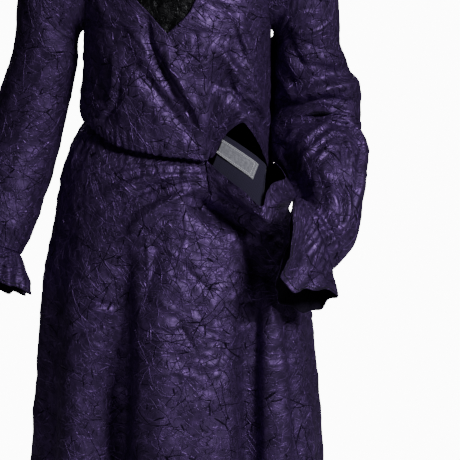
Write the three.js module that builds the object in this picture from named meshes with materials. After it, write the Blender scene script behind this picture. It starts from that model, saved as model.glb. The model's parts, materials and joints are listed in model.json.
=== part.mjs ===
// A long-sleeved witch dress in crushed satin, hollow, in the pose in which it is worn.
// Millimetres, +Z up, +X towards the wearer's left, -Y towards the front.
// The origin is midway between the two neck points of the shoulders, where the dress is held up.
import * as THREE from "three";

// Cloth and seams
const WALL = 2.0; // satin with its turned edges
const THIN_WALL = 1.4; // flap, inset and tapes
const SEAM_GAP = 0.3; // between two pieces that are sewn together

// Heights on the general figure
const UNDERARM_Z = -222;
const SHOULDER_TIP_Z = -45;
const HEM_Z = -1330;
const NECK_POINT_Z = -1;

// Grid steps of each piece
const FRONT_HALF_STEPS = 15;
const FRONT_LOW_ROWS = 15;
const ARMHOLE_ROWS = [0.035, 0.1, 0.2, 0.34, 0.5, 0.65, 0.78, 0.89, 0.965]; // shares of the way up
const SHOULDER_ROWS = [0.35, 0.7, 1]; // shares of the way from the shoulder tip to the neck
const BACK_HALF_STEPS = 9;
const BACK_LOW_ROWS = 8;
const SKIRT_FRONT_STEPS = 60;
const SKIRT_BACK_STEPS = 36;
const RUFFLE_STEPS = 40;

const rad = THREE.MathUtils.degToRad;
const lerp = THREE.MathUtils.lerp;
const clamp = THREE.MathUtils.clamp;
const V = (x, y, z) => new THREE.Vector3(x, y, z);

// Reads a column of a table at a value of its key column, on a smooth curve that overshoots no row.
function read(table, key, column, at) {
  const last = table.length - 1;
  if (at <= table[0][key]) return table[0][column];
  if (at >= table[last][key]) return table[last][column];
  let i = 0;
  while (at > table[i + 1][key]) i += 1;
  const rise = (k, name) => table[k + 1][name] - table[k][name];
  const slope = (k) => rise(k, column) / rise(k, key);
  const tangent = (k) => {
    if (k === 0 || k === last) return slope(k === 0 ? 0 : last - 1);
    const [before, after] = [slope(k - 1), slope(k)];
    return before * after <= 0 ? 0 : (2 * before * after) / (before + after);
  };
  const step = table[i + 1][key] - table[i][key];
  const t = (at - table[i][key]) / step;
  const [a, b] = [table[i][column], table[i + 1][column]];
  const [ta, tb] = [tangent(i) * step, tangent(i + 1) * step];
  const [t2, t3] = [t * t, t * t * t];
  const ends = a * (2 * t3 - 3 * t2 + 1) + b * (3 * t2 - 2 * t3);
  return ends + ta * (t3 - 2 * t2 + t) + tb * (t3 - t2);
}

// An angle in degrees brought to -180 to 180.
const wrap = (angle) => (angle > 180 ? angle - 360 : angle < -180 ? angle + 360 : angle);

// 0 below low, 1 above high, smooth between.
const ramp = (value, low, high) => THREE.MathUtils.smoothstep(value, low, high);

// A fold or dent seen from the front: an arc from (x1, z1) to (x2, z2) that bends sideways by bend.
// depth is positive for a ridge and negative for a valley.
function foldHeight(folds, x, z) {
  let sum = 0;
  for (const f of folds) {
    const [dx, dz] = [f.x2 - f.x1, f.z2 - f.z1];
    const long = Math.hypot(dx, dz);
    const along = ((x - f.x1) * dx + (z - f.z1) * dz) / (long * long);
    const t = clamp(along, 0, 1);
    const across = ((x - f.x1) * dz - (z - f.z1) * dx) / long - f.bend * 4 * t * (1 - t);
    const past = (Math.abs(along - t) * long) / f.width;
    const taper = 0.35 + 0.65 * Math.sin(Math.PI * t);
    sum += f.depth * taper * Math.exp(-((across / f.width) ** 2) - past * past);
  }
  return sum;
}

// The torso of the dress without its blousing: half width, and depth in front of and behind the side seam.
const TORSO = [
  { z: -450, half: 134, front: 97, back: 87, square: 2.3 },
  { z: -400, half: 134, front: 99, back: 87, square: 2.3 },
  { z: -345, half: 140, front: 110, back: 93, square: 2.3 },
  { z: -270, half: 147, front: 121, back: 103, square: 2.3 },
  { z: UNDERARM_Z, half: 150, front: 118, back: 108, square: 2.3 },
  { z: -150, half: 165, front: 106, back: 108, square: 2.3 },
  { z: -100, half: 178, front: 94, back: 102, square: 2.2 },
  { z: SHOULDER_TIP_Z, half: 188, front: 74, back: 84, square: 2.1 },
  { z: -15, half: 120, front: 54, back: 68, square: 2.1 },
  { z: 0, half: 90, front: 44, back: 60, square: 2.1 },
];

// A point of an upright oval ring and its level outward direction.
// phi is 0 at the front and 90 at the wearer's left.
function oval(phi, half, front, back, square, z) {
  const [s, c] = [Math.sin(rad(phi)), Math.cos(rad(phi))];
  const depth = c >= 0 ? front : back;
  const power = 2 / square;
  const x = half * Math.sign(s) * Math.abs(s) ** power;
  const y = -depth * Math.sign(c) * Math.abs(c) ** power;
  const out = V(
    (Math.sign(x) * Math.abs(x / half) ** (square - 1)) / half,
    (Math.sign(y) * Math.abs(y / depth) ** (square - 1)) / depth,
    0,
  );
  return { at: V(x, y, z), out: out.normalize() };
}

function torso(phi, z) {
  const column = (name) => read(TORSO, "z", name, z);
  return oval(phi, column("half"), column("front"), column("back"), column("square"), z);
}

// The angle at which the torso's ring at height z has this x.
function phiAt(x, z) {
  const half = read(TORSO, "z", "half", z);
  const square = read(TORSO, "z", "square", z);
  const share = clamp(Math.abs(x) / half, 0, 1);
  return Math.sign(x) * THREE.MathUtils.radToDeg(Math.asin(share ** (square / 2)));
}

// The waist seam: higher on the wearer's right, dragged down on the left.
const WAIST = [
  { phi: -180, z: -402 },
  { phi: -135, z: -382 },
  { phi: -90, z: -352 },
  { phi: -65, z: -368 },
  { phi: -45, z: -388 },
  { phi: -28, z: -400 },
  { phi: 0, z: -411 },
  { phi: 18, z: -418 },
  { phi: 45, z: -430 },
  { phi: 70, z: -440 },
  { phi: 90, z: -447 },
  { phi: 135, z: -430 },
  { phi: 180, z: -402 },
];
const waistZ = (phi) => read(WAIST, "phi", "z", phi);

// The waist seam as a line of straight steps that both panels share: a point, its way out and up across.
function waistSeam(phi) {
  const step = Math.abs(phi) < 90 ? 90 / FRONT_HALF_STEPS : 90 / BACK_HALF_STEPS;
  const first = Math.floor(phi / step + 1e-6) * step;
  const ends = [first, first + step].map((angle) => torso(wrap(angle), waistZ(wrap(angle))));
  const at = ends[0].at.clone().lerp(ends[1].at, (phi - first) / step);
  const [before, after] = [wrap(phi - 1), wrap(phi + 1)].map((angle) => torso(angle, waistZ(angle)).at);
  const along = after.sub(before);
  const out = torso(phi, waistZ(phi)).out;
  const up = V(0, 0, 0).crossVectors(out, along).normalize();
  return { at, out, up };
}

// Sews a point of a panel to the waist seam on one side of it, except where the opening parts them.
function sewToWaist(phi, point, normal, side) {
  const seam = waistSeam(wrap(phi));
  const open = openAt(wrap(phi));
  const sewn = seam.at.addScaledVector(seam.up, (side * SEAM_GAP) / 2);
  point.copy(sewn.lerp(point, open));
  normal.copy(seam.out.lerp(normal, open)).normalize();
}

// Moves a point of a panel half the gap away from the side or shoulder seam that it lies on.
function sewToSide(phi, point, facing) {
  if (Math.abs(Math.abs(wrap(phi)) - 90) < 1e-6) point.y -= (facing * SEAM_GAP) / 2;
}

// The bodice hangs over its waist seam: height above the seam and bulge, by the share of its length.
const BLOUSE = [
  { share: 0, rise: 0, out: 0 },
  { share: 0.05, rise: 1, out: 8 },
  { share: 0.1, rise: -6, out: 15 },
  { share: 0.16, rise: -4, out: 18 },
  { share: 0.23, rise: 8, out: 19 },
  { share: 0.34, rise: 30, out: 16 },
  { share: 0.5, rise: 75, out: 10 },
  { share: 0.75, rise: 140, out: 4 },
  { share: 1, rise: 205, out: 0 },
];
const BLOUSE_HEIGHT = 205;

// The loose back stands out beside both side seams, by the share of the panel's length from the seam.
const PUFF = [
  { share: 0, out: 0 },
  { share: 0.12, out: 4 },
  { share: 0.3, out: 7 },
  { share: 0.6, out: 7 },
  { share: 0.85, out: 3 },
  { share: 1, out: 0 },
];
const PUFF_PHI = 120;
const PUFF_SPREAD = 15;
const puffAt = (phi) => (Math.abs(phi) > 90 ? Math.exp(-(((Math.abs(phi) - PUFF_PHI) / PUFF_SPREAD) ** 2)) : 0);

// The access opening in the waist seam, on the wearer's left front.
const OPENING_START = 18;
const OPENING_END = 88;
function openAt(phi) {
  const opens = ramp(phi, OPENING_START - 3, OPENING_START + 3);
  return opens * (1 - ramp(phi, OPENING_END - 4, OPENING_END + 1));
}

// The bodice's free lower edge, pushed up into an arch over the opening.
const ARCH = [
  { phi: 14, z: -421, out: 16 },
  { phi: 20, z: -417, out: 17 },
  { phi: 25, z: -391, out: 22 },
  { phi: 30, z: -370, out: 28 },
  { phi: 36, z: -360, out: 33 },
  { phi: 42, z: -372, out: 33 },
  { phi: 50, z: -393, out: 30 },
  { phi: 58, z: -411, out: 25 },
  { phi: 70, z: -432, out: 18 },
  { phi: 80, z: -444, out: 14 },
  { phi: 90, z: -447, out: 12 },
];

// Large folds of the bodice's front, placed by where they are seen from the front.
const BODICE_FOLDS = [
  { x1: -52, z1: -200, x2: 36, z2: -384, bend: 8, width: 13, depth: -9 },
  { x1: -16, z1: -254, x2: 56, z2: -392, bend: 6, width: 14, depth: 6 },
  { x1: -92, z1: -212, x2: -4, z2: -345, bend: 8, width: 14, depth: -7 },
  { x1: 74, z1: -206, x2: 98, z2: -282, bend: -4, width: 13, depth: -7 },
  { x1: 94, z1: -204, x2: 126, z2: -330, bend: -7, width: 14, depth: 6 },
  { x1: 62, z1: -246, x2: 140, z2: -396, bend: -12, width: 13, depth: 9 },
  { x1: 50, z1: -290, x2: 114, z2: -366, bend: -12, width: 14, depth: -11 },
  { x1: -120, z1: -256, x2: -114, z2: -338, bend: 4, width: 12, depth: -6 },
  { x1: -122, z1: -352, x2: -84, z2: -372, bend: -4, width: 13, depth: -6 },
];

// The bodice all round: level 0 is the waist seam, 1 the underarm and 2 the neck points.
function bodice(phi, level) {
  const share = Math.min(level, 1);
  const seam = waistZ(phi);
  const sewnRise = (read(BLOUSE, "share", "rise", share) / BLOUSE_HEIGHT) * (UNDERARM_Z - seam);
  const archZ = read(ARCH, "phi", "z", phi);
  const open = openAt(phi);
  const low = lerp(seam + sewnRise, archZ + share * (UNDERARM_Z - archZ), open);
  const bulge = lerp(
    read(BLOUSE, "share", "out", share),
    read(ARCH, "phi", "out", phi) * (1 - ramp(share, 0, 0.75)) + 2 * share * (1 - share),
    open,
  );
  const z = level <= 1 ? low : lerp(UNDERARM_Z, NECK_POINT_Z, level - 1);
  const ring = torso(phi, Math.max(z, -450));
  ring.at.z = z;
  const puff = puffAt(phi) * ramp(Math.abs(phi), 90, 98) * read(PUFF, "share", "out", share);
  const calm = Math.abs(phi) < 90 ? ramp(share, 0.1, 0.3) * (1 - ramp(Math.abs(phi), 72, 88)) : 0;
  return ring.at.addScaledVector(ring.out, bulge + puff + calm * foldHeight(BODICE_FOLDS, ring.at.x, z));
}
const levelAt = (z) => 1 + (z - UNDERARM_Z) / (NECK_POINT_Z - UNDERARM_Z);
const armholeLevel = (share) => lerp(1, levelAt(SHOULDER_TIP_Z), share);

// Front neckline: a V that the pull on the cloth has drawn to the wearer's right.
const V_POINT_Z = -222;
const FRONT_NECK = [
  { z: V_POINT_Z, right: -14, left: -14 },
  { z: -205, right: -29, left: 5 },
  { z: -190, right: -43, left: 20 },
  { z: -170, right: -61, left: 30 },
  { z: -130, right: -73, left: 54 },
  { z: -80, right: -80, left: 72 },
  { z: -30, right: -84, left: 82 },
  { z: NECK_POINT_Z, right: -84, left: 84 },
];
const BACK_NECK_Z = -26;
const BACK_NECK = [
  { z: BACK_NECK_Z, half: 0 },
  { z: -24, half: 34 },
  { z: -18, half: 60 },
  { z: -8, half: 76 },
  { z: NECK_POINT_Z, half: 84 },
];
const ARMHOLE = [
  { z: UNDERARM_Z, x: 150 },
  { z: -212, x: 148 },
  { z: -190, x: 145 },
  { z: -150, x: 143 },
  { z: -100, x: 147 },
  { z: -72, x: 158 },
  { z: -55, x: 173 },
  { z: SHOULDER_TIP_Z, x: 188 },
];

// The panel's outer edge: side seam, then armhole, then shoulder seam.
function outerPhi(z) {
  if (z <= UNDERARM_Z || z >= SHOULDER_TIP_Z) return 90;
  const above = ramp(z, UNDERARM_Z, UNDERARM_Z + 12);
  const below = 1 - ramp(z, SHOULDER_TIP_Z - 8, SHOULDER_TIP_Z);
  return lerp(phiAt(read(ARMHOLE, "z", "x", z), z), 90, 1 - above * below);
}

// A cloth wall on a sheet of points. faces are rows of four point numbers, or three, seen from outside.
function wall(name, material, points, normals, faces, thickness) {
  const half = thickness / 2;
  const corners = [];
  for (const side of [half, -half]) {
    points.forEach((p, i) => corners.push(p.clone().addScaledVector(normals[i], side)));
  }
  const inner = points.length;
  const triangles = [];
  const edges = new Map();
  const addFace = (face) => {
    for (let k = 1; k + 1 < face.length; k += 1) {
      triangles.push([face[0], face[k], face[k + 1]]);
      triangles.push([face[0] + inner, face[k + 1] + inner, face[k] + inner]);
    }
    face.forEach((a, k) => {
      const b = face[(k + 1) % face.length];
      const back = `${b}_${a}`;
      if (edges.has(back)) edges.delete(back);
      else edges.set(`${a}_${b}`, [a, b]);
    });
  };
  faces.forEach(addFace);
  for (const [a, b] of edges.values()) {
    triangles.push([a, a + inner, b + inner]);
    triangles.push([a, b + inner, b]);
  }
  const geometry = new THREE.BufferGeometry();
  const numbers = corners.flatMap((p) => p.toArray());
  geometry.setAttribute("position", new THREE.Float32BufferAttribute(numbers, 3));
  geometry.setIndex(triangles.flat());
  const mesh = new THREE.Mesh(geometry, material);
  mesh.name = name;
  return mesh;
}

// The outward direction of a surface at (u, v), from small steps to each side.
function normalOf(surface, u, v, du, dv) {
  const across = surface(u + du, v).sub(surface(u - du, v));
  const up = surface(u, v + dv).sub(surface(u, v - dv));
  return across.cross(up).normalize();
}

// A wall on a grid of (u, v) values. Rows run up the piece, and columns across it or, if closed, round it.
// finish may move a point, or turn its normal, where the piece meets another one.
function gridWall(name, material, surface, rows, options = {}) {
  const { closed = false, thickness = WALL, du = 0.4, dv = 0.004, finish = () => {} } = options;
  const points = [];
  const normals = [];
  for (const row of rows) {
    for (const [u, v] of row) {
      const point = surface(u, v);
      const normal = normalOf(surface, u, v, du, dv);
      finish(u, v, point, normal);
      points.push(point);
      normals.push(normal);
    }
  }
  const wide = rows[0].length;
  const faces = [];
  for (let i = 0; i + 1 < rows.length; i += 1) {
    for (let j = 0; j < (closed ? wide : wide - 1); j += 1) {
      const next = (j + 1) % wide;
      faces.push([i * wide + j, i * wide + next, (i + 1) * wide + next, (i + 1) * wide + j]);
    }
  }
  return wall(name, material, points, normals, faces, thickness);
}

// A bodice panel: two halves that share the centre line up to the neckline and part above it.
// centre is the panel's middle angle, and edge(side, z) the neckline's distance from it.
function bodicePanel(name, material, steps, lowRows, centre, neckZ, edge) {
  const neckLevel = levelAt(neckZ);
  const levels = [];
  for (let i = 0; i <= lowRows; i += 1) levels.push((i / lowRows) ** 1.35);
  for (const share of ARMHOLE_ROWS) levels.push(armholeLevel(share));
  levels.push(levelAt(SHOULDER_TIP_Z));
  for (const share of SHOULDER_ROWS) levels.push(lerp(levelAt(SHOULDER_TIP_Z), 2, share));
  if (!levels.some((level) => Math.abs(level - neckLevel) < 1e-6)) levels.push(neckLevel);
  levels.sort((a, b) => a - b);
  const points = [];
  const normals = [];
  const ids = new Map();
  const facing = centre === 0 ? 1 : -1;
  const id = (side, i, j) => {
    const level = levels[i];
    const z = level <= 1 ? UNDERARM_Z : lerp(UNDERARM_Z, NECK_POINT_Z, level - 1);
    const whole = level <= neckLevel + 1e-6;
    const label = whole && j === 0 ? `${i}` : `${side}_${i}_${j}`;
    if (!ids.has(label)) {
      const inner = whole ? edge(0, level) : edge(side, level);
      const angle = lerp(inner, side * (level <= 1 ? 90 : outerPhi(z)), j / steps);
      const phi = wrap(centre + facing * angle);
      const point = bodice(phi, level);
      const normal = normalOf(bodice, phi, level, 0.4, 0.004);
      if (level === 0) sewToWaist(phi, point, normal, 1);
      if (j === steps) sewToArmhole(level, Math.sign(phi), facing, normal);
      sewToSide(phi, point, facing);
      ids.set(label, points.length);
      points.push(point);
      normals.push(normal);
    }
    return ids.get(label);
  };
  const faces = [];
  for (let i = 0; i + 1 < levels.length; i += 1) {
    for (const side of [-1, 1]) {
      for (let j = 0; j < steps; j += 1) {
        const face = [id(side, i, j), id(side, i, j + 1), id(side, i + 1, j + 1), id(side, i + 1, j)];
        faces.push(side === facing ? face : face.reverse());
      }
    }
  }
  return wall(name, material, points, normals, faces, WALL);
}

// Angle of the front neckline on each side of the V, and of the line below its point.
const V_POINT_X = -14;
function frontEdge(side, level) {
  const z = lerp(UNDERARM_Z, NECK_POINT_Z, level - 1);
  if (side === 0) return phiAt(V_POINT_X, UNDERARM_Z) * ramp(level, 0, 0.6);
  return phiAt(read(FRONT_NECK, "z", side > 0 ? "left" : "right", z), z);
}
function backEdge(side, level) {
  const z = lerp(UNDERARM_Z, NECK_POINT_Z, level - 1);
  return side * phiAt(read(BACK_NECK, "z", "half", z), z);
}

// The skirt: how far its rings stand outside the waist, by the drop below the seam.
const SKIRT = [
  { drop: 0, side: 0, front: 0, back: 0 },
  { drop: 8, side: 2, front: 2, back: 2 },
  { drop: 22, side: 14, front: 12, back: 13 },
  { drop: 45, side: 30, front: 23, back: 30 },
  { drop: 90, side: 48, front: 38, back: 54 },
  { drop: 170, side: 66, front: 54, back: 80 },
  { drop: 235, side: 84, front: 66, back: 93 },
  { drop: 370, side: 100, front: 86, back: 112 },
  { drop: 505, side: 113, front: 102, back: 128 },
  { drop: 900, side: 154, front: 148, back: 172 },
];
const SKIRT_LENGTH = 900;
// Shares of the skirt's length at which it has a row: close at the waist, wider below.
const SKIRT_ROWS = [
  0, 0.012, 0.026, 0.042, 0.06, 0.08, 0.105, 0.135, 0.17, 0.215, 0.28, 0.36, 0.46, 0.57, 0.69, 0.83, 1,
];
const BACK_ROWS = [0, 0.012, 0.03, 0.06, 0.12, 0.22, 0.36, 0.54, 0.76, 1];

// Hanging flutes of the skirt: angle, half width in degrees, and depth at the hem.
const FLUTES = [
  { phi: -160, width: 9, depth: -26 },
  { phi: -136, width: 9, depth: -24 },
  { phi: -111, width: 9, depth: -26 },
  { phi: -88, width: 8, depth: -22 },
  { phi: -64, width: 8, depth: -22 },
  { phi: -45, width: 9, depth: 10 },
  { phi: -28, width: 12, depth: -56 },
  { phi: -7, width: 9, depth: 14 },
  { phi: 10, width: 14, depth: 14 },
  { phi: 34, width: 7, depth: -40 },
  { phi: 46, width: 6, depth: 12 },
  { phi: 53, width: 4, depth: -9 },
  { phi: 62, width: 8, depth: 9 },
  { phi: 78, width: 7, depth: -16 },
  { phi: 100, width: 9, depth: -24 },
  { phi: 124, width: 9, depth: -26 },
  { phi: 148, width: 9, depth: -24 },
  { phi: 173, width: 9, depth: -26 },
];

// The skirt's free top edge in the opening, drawn forward and down to where it is pinched and back again.
const PULLED_EDGE = [
  { phi: OPENING_START, x: 43, y: -97, z: -419 },
  { phi: 30, x: 76, y: -124, z: -445 },
  { phi: 42, x: 106, y: -147, z: -465 },
  { phi: 52, x: 134, y: -167, z: -486 },
  { phi: 60, x: 154, y: -128, z: -478 },
  { phi: 70, x: 173, y: -94, z: -458 },
  { phi: 80, x: 158, y: -44, z: -443 },
  { phi: 90, x: 134, y: 0, z: -447 },
];
// How much of that pull is left at each drop below the edge.
const PULL_FADE = [
  { drop: 0, left: 1 },
  { drop: 14, left: 1 },
  { drop: 28, left: 0.93 },
  { drop: 44, left: 0.6 },
  { drop: 66, left: 0.27 },
  { drop: 110, left: 0.07 },
  { drop: 180, left: 0 },
];

// Large folds of the skirt's front: the hollow under the pulled edge and the drag lines that run to it.
const SKIRT_FOLDS = [
  { x1: 26, z1: -482, x2: 104, z2: -524, bend: 4, width: 15, depth: -36 },
  { x1: 116, z1: -526, x2: 142, z2: -630, bend: 0, width: 15, depth: -16 },
  { x1: -110, z1: -468, x2: 10, z2: -436, bend: -5, width: 8, depth: 5 },
  { x1: -100, z1: -500, x2: 14, z2: -452, bend: -6, width: 10, depth: -6 },
  { x1: -84, z1: -545, x2: 24, z2: -462, bend: -8, width: 11, depth: 6 },
  { x1: -66, z1: -700, x2: -30, z2: -540, bend: 6, width: 16, depth: -10 },
  { x1: -166, z1: -694, x2: -118, z2: -672, bend: 2, width: 10, depth: -8 },
];

const GATHERS = 36; // small gathers round the waist
const GATHER_DEPTH = 2.6;

// The skirt all round: share 0 is the waist seam and 1 the hem.
function skirt(phi, share) {
  const seam = waistZ(phi);
  const total = seam - HEM_Z;
  const drop = share * SKIRT_LENGTH;
  const fall = share * total;
  const waist = torso(phi, seam);
  const end = Math.abs(phi) <= 90 ? "front" : "back";
  const sideways = Math.sin(rad(phi)) ** 2;
  const flare = lerp(read(SKIRT, "drop", end, drop), read(SKIRT, "drop", "side", drop), sideways);
  const growth = ramp(drop, 60, 480) * (0.8 + (0.2 * drop) / SKIRT_LENGTH);
  let flute = 0;
  for (const f of FLUTES) {
    const away = Math.abs(THREE.MathUtils.euclideanModulo(phi - f.phi + 180, 360) - 180);
    flute += f.depth * growth * Math.exp(-((away / f.width) ** 2));
  }
  const gatherFade = ramp(fall, 2, 14) * (1 - ramp(fall, 30, 90));
  const gather = GATHER_DEPTH * gatherFade * Math.cos(rad(phi * GATHERS));
  const p = waist.at.clone().addScaledVector(waist.out, flare + flute + gather);
  p.z = seam - fall;
  if (phi > OPENING_START && phi < 90) {
    const left = read(PULL_FADE, "drop", "left", fall);
    const edge = V(...["x", "y", "z"].map((name) => read(PULLED_EDGE, "phi", name, phi)));
    const start = waist.at.clone();
    start.z = seam;
    p.addScaledVector(edge.sub(start), left);
  }
  if (Math.abs(phi) < 90) {
    const calm = ramp(fall, 16, 40) * (1 - ramp(Math.abs(phi), 75, 89));
    p.addScaledVector(waist.out, calm * foldHeight(SKIRT_FOLDS, p.x, p.z));
  }
  return p;
}

// A ring on two half axes for each direction: outward (a), inward (-a), forward (b) and back (-b).
function ring(centre, a, b, out, inward, front, back, turn = 0) {
  return (psi) => {
    const [c, s] = [Math.cos(rad(psi + turn)), Math.sin(rad(psi + turn))];
    return centre
      .clone()
      .addScaledVector(a, c * (c > 0 ? out : inward))
      .addScaledVector(b, s * (s > 0 ? front : back));
  };
}

// A ring square to the way the sleeve runs. psi is 0 outward, 90 to the front and 180 towards the body.
function sleeveRing(row, mirror) {
  const run = V(mirror * row.dx, row.dy, row.dz).normalize();
  const a = V(mirror, 0, 0).addScaledVector(run, -run.x * mirror).normalize();
  const b = V(0, 0, 0).crossVectors(run, a).multiplyScalar(mirror);
  return ring(V(mirror * row.x, row.y, row.z), a, b, row.out, row.in, row.front, row.back);
}

// A ring of the sleeve's cap, upright from front to back, between its lowest and highest points.
function capRing(row, mirror) {
  const low = V(mirror * row.inX, 0, row.inZ);
  const high = V(mirror * row.outX, 0, row.outZ);
  const half = high.clone().sub(low).multiplyScalar(0.5);
  const long = half.length();
  return ring(low.add(half), half.normalize(), V(0, -1, 0), long, long, row.front, row.back);
}

// The armhole as a line: psi is 0 at the shoulder tip, 90 in front and 180 at the underarm.
// out is midway between the ways out of the bodice and of the sleeve.
function armholeLine(psi, mirror) {
  const share = (1 + Math.cos(rad(psi))) / 2;
  const level = armholeLevel(share);
  const angle = outerPhi(lerp(UNDERARM_Z, SHOULDER_TIP_Z, share));
  const phi = mirror * (Math.sin(rad(psi)) < -1e-9 ? 180 - angle : angle);
  const out = normalOf(bodice, phi, level, 0.4, 0.004);
  out.add(V(0, -Math.sin(rad(psi)), Math.cos(rad(psi)))).normalize();
  return { at: bodice(phi, level), out };
}

// Turns a panel's edge to the armhole's own way out.
function sewToArmhole(level, mirror, facing, normal) {
  const share = (level - 1) / (levelAt(SHOULDER_TIP_Z) - 1);
  if (share < 0 || share > 1 + 1e-6) return;
  const psi = THREE.MathUtils.radToDeg(Math.acos(Math.min(2 * share - 1, 1)));
  normal.copy(armholeLine(facing * psi, mirror).out);
}

// The sleeve's sewn ring, one gap beyond the edge of the bodice.
function armholeRing(mirror) {
  return (psi) => {
    const here = armholeLine(psi, mirror);
    const along = armholeLine(psi + 1.5, mirror).at.sub(armholeLine(psi - 1.5, mirror).at);
    const beyond = V(0, 0, 0).crossVectors(here.out, along).multiplyScalar(mirror).normalize();
    return here.at.addScaledVector(beyond, SEAM_GAP);
  };
}

// A tube through its stations, each a ring. at runs from 0 at the first to 1 at the last.
function loft(stations) {
  const last = stations.length - 1;
  return (psi, at) => {
    const place = clamp(at, 0, 1) * last;
    const i = Math.min(Math.floor(place), last - 1);
    const t = place - i;
    const [p0, p1, p2, p3] = [i - 1, i, i + 1, i + 2].map((k) => stations[clamp(k, 0, last)](psi));
    const tangent1 = p2.clone().sub(p0).multiplyScalar(i === 0 ? 1 : 0.5);
    const tangent2 = p3.clone().sub(p1).multiplyScalar(i + 1 === last ? 1 : 0.5);
    const [t2, t3] = [t * t, t * t * t];
    const p = p1.multiplyScalar(2 * t3 - 3 * t2 + 1).addScaledVector(tangent1, t3 - 2 * t2 + t);
    p.addScaledVector(p2, 3 * t2 - 2 * t3).addScaledVector(tangent2, t3 - t2);
    if (at < 0) p.addScaledVector(tangent1, at * last);
    if (at > 1) p.addScaledVector(tangent2, (at - 1) * last);
    return p;
  };
}

// The sleeve's cap, where its rings swing from the armhole down to the arm, for both sleeves.
const SLEEVE_CAP = [
  { inX: 154, inZ: -226, outX: 208, outZ: -59, front: 64, back: 66 },
  { inX: 157, inZ: -230, outX: 231, outZ: -90, front: 64, back: 66 },
  { inX: 159, inZ: -234, outX: 247, outZ: -130, front: 62, back: 64 },
  { inX: 160, inZ: -239, outX: 256, outZ: -172, front: 60, back: 62 },
  { inX: 161, inZ: -248, outX: 259, outZ: -215, front: 58, back: 60 },
];
// Stations of the bent left sleeve below it: centre, the way it runs, and its four half widths.
const LEFT_SLEEVE = [
  { x: 211, y: 3, z: -262, dx: 0.15, dy: 0, dz: -0.99, out: 52, in: 52, front: 58, back: 58 },
  { x: 221, y: 6, z: -306, dx: 0.2, dy: -0.05, dz: -0.97, out: 62, in: 64, front: 60, back: 60 },
  { x: 234, y: 8, z: -346, dx: 0.1, dy: -0.2, dz: -0.97, out: 66, in: 75, front: 58, back: 62 },
  { x: 239, y: 0, z: -380, dx: 0, dy: -0.5, dz: -0.86, out: 52, in: 78, front: 46, back: 68 },
  { x: 240, y: -32, z: -412, dx: -0.05, dy: -0.72, dz: -0.69, out: 64, in: 80, front: 54, back: 70 },
  { x: 238, y: -66, z: -444, dx: -0.07, dy: -0.75, dz: -0.66, out: 64, in: 63, front: 56, back: 74 },
  { x: 234, y: -98, z: -478, dx: -0.25, dy: -0.72, dz: -0.66, out: 62, in: 48, front: 52, back: 76 },
  { x: 226, y: -124, z: -510, dx: -0.6, dy: -0.45, dz: -0.66, out: 66, in: 33, front: 42, back: 64 },
];
// The right sleeve hangs at the side, with the same cut.
const RIGHT_SLEEVE = [
  { x: 213, y: 3, z: -272, dx: 0.2, dy: 0, dz: -0.98, out: 54, in: 51, front: 58, back: 58 },
  { x: 232, y: 6, z: -345, dx: 0.2, dy: -0.05, dz: -0.98, out: 60, in: 54, front: 60, back: 62 },
  { x: 250, y: 4, z: -410, dx: 0.2, dy: -0.15, dz: -0.97, out: 62, in: 56, front: 62, back: 65 },
  { x: 268, y: -10, z: -470, dx: 0.2, dy: -0.28, dz: -0.94, out: 63, in: 56, front: 62, back: 67 },
  { x: 284, y: -30, z: -530, dx: 0.2, dy: -0.3, dz: -0.93, out: 58, in: 52, front: 54, back: 62 },
];

// Left wrist: a loose elastic ring, long from top to bottom, that faces the hand.
const WRIST = V(217, -150, -533);
const WRIST_LONG = V(0.37, 0.225, -0.9).normalize();
const WRIST_FACE = V(-0.85, -0.25, -0.4).normalize();
const WRIST_NEAR = V(0, 0, 0).crossVectors(WRIST_FACE, WRIST_LONG).normalize();
const WRIST_HALF_LONG = 66;
const WRIST_HALF_SHORT = 31;
const WRIST_TURN = 41;
const leftWrist = (grow, forward) =>
  ring(
    WRIST.clone().addScaledVector(WRIST_FACE, forward),
    WRIST_LONG,
    WRIST_NEAR,
    WRIST_HALF_LONG + grow,
    WRIST_HALF_LONG + grow,
    WRIST_HALF_SHORT + grow,
    WRIST_HALF_SHORT + grow,
    WRIST_TURN,
  );

const RIGHT_WRIST = {
  x: 294, y: -45, z: -574, dx: 0.2, dy: -0.3, dz: -0.93, out: 40, in: 40, front: 44, back: 44,
};
function rightWrist(grow, forward) {
  const row = { ...RIGHT_WRIST };
  for (const axis of ["x", "y", "z"]) row[axis] += forward * row[`d${axis}`];
  for (const way of ["out", "in", "front", "back"]) row[way] += grow;
  return sleeveRing(row, -1);
}

// Folds across the left sleeve near the elbow: place along it, angle, spread in degrees, width and depth.
const ELBOW_FOLDS = [
  { at: 0.4, psi: 90, spread: 55, width: 0.03, depth: -5 },
  { at: 0.49, psi: 80, spread: 75, width: 0.022, depth: -11 },
  { at: 0.525, psi: 70, spread: 70, width: 0.02, depth: 8 },
  { at: 0.574, psi: 75, spread: 80, width: 0.024, depth: -11 },
  { at: 0.636, psi: 60, spread: 70, width: 0.024, depth: 8 },
  { at: 0.675, psi: 60, spread: 60, width: 0.022, depth: -6 },
  { at: 0.72, psi: 40, spread: 55, width: 0.028, depth: 5 },
  { at: 0.63, psi: 212, spread: 40, width: 0.075, depth: 16 },
  { at: 0.26, psi: 200, spread: 20, width: 0.06, depth: 6 },
  { at: 0.4, psi: 204, spread: 17, width: 0.13, depth: 15 },
  { at: 0.56, psi: 206, spread: 17, width: 0.08, depth: 8 },
  { at: 0.715, psi: 213, spread: 17, width: 0.035, depth: 3 },
  { at: 0.74, psi: 195, spread: 40, width: 0.05, depth: 7 },
];
const WRIST_GATHER_DEPTH = 3;
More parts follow.
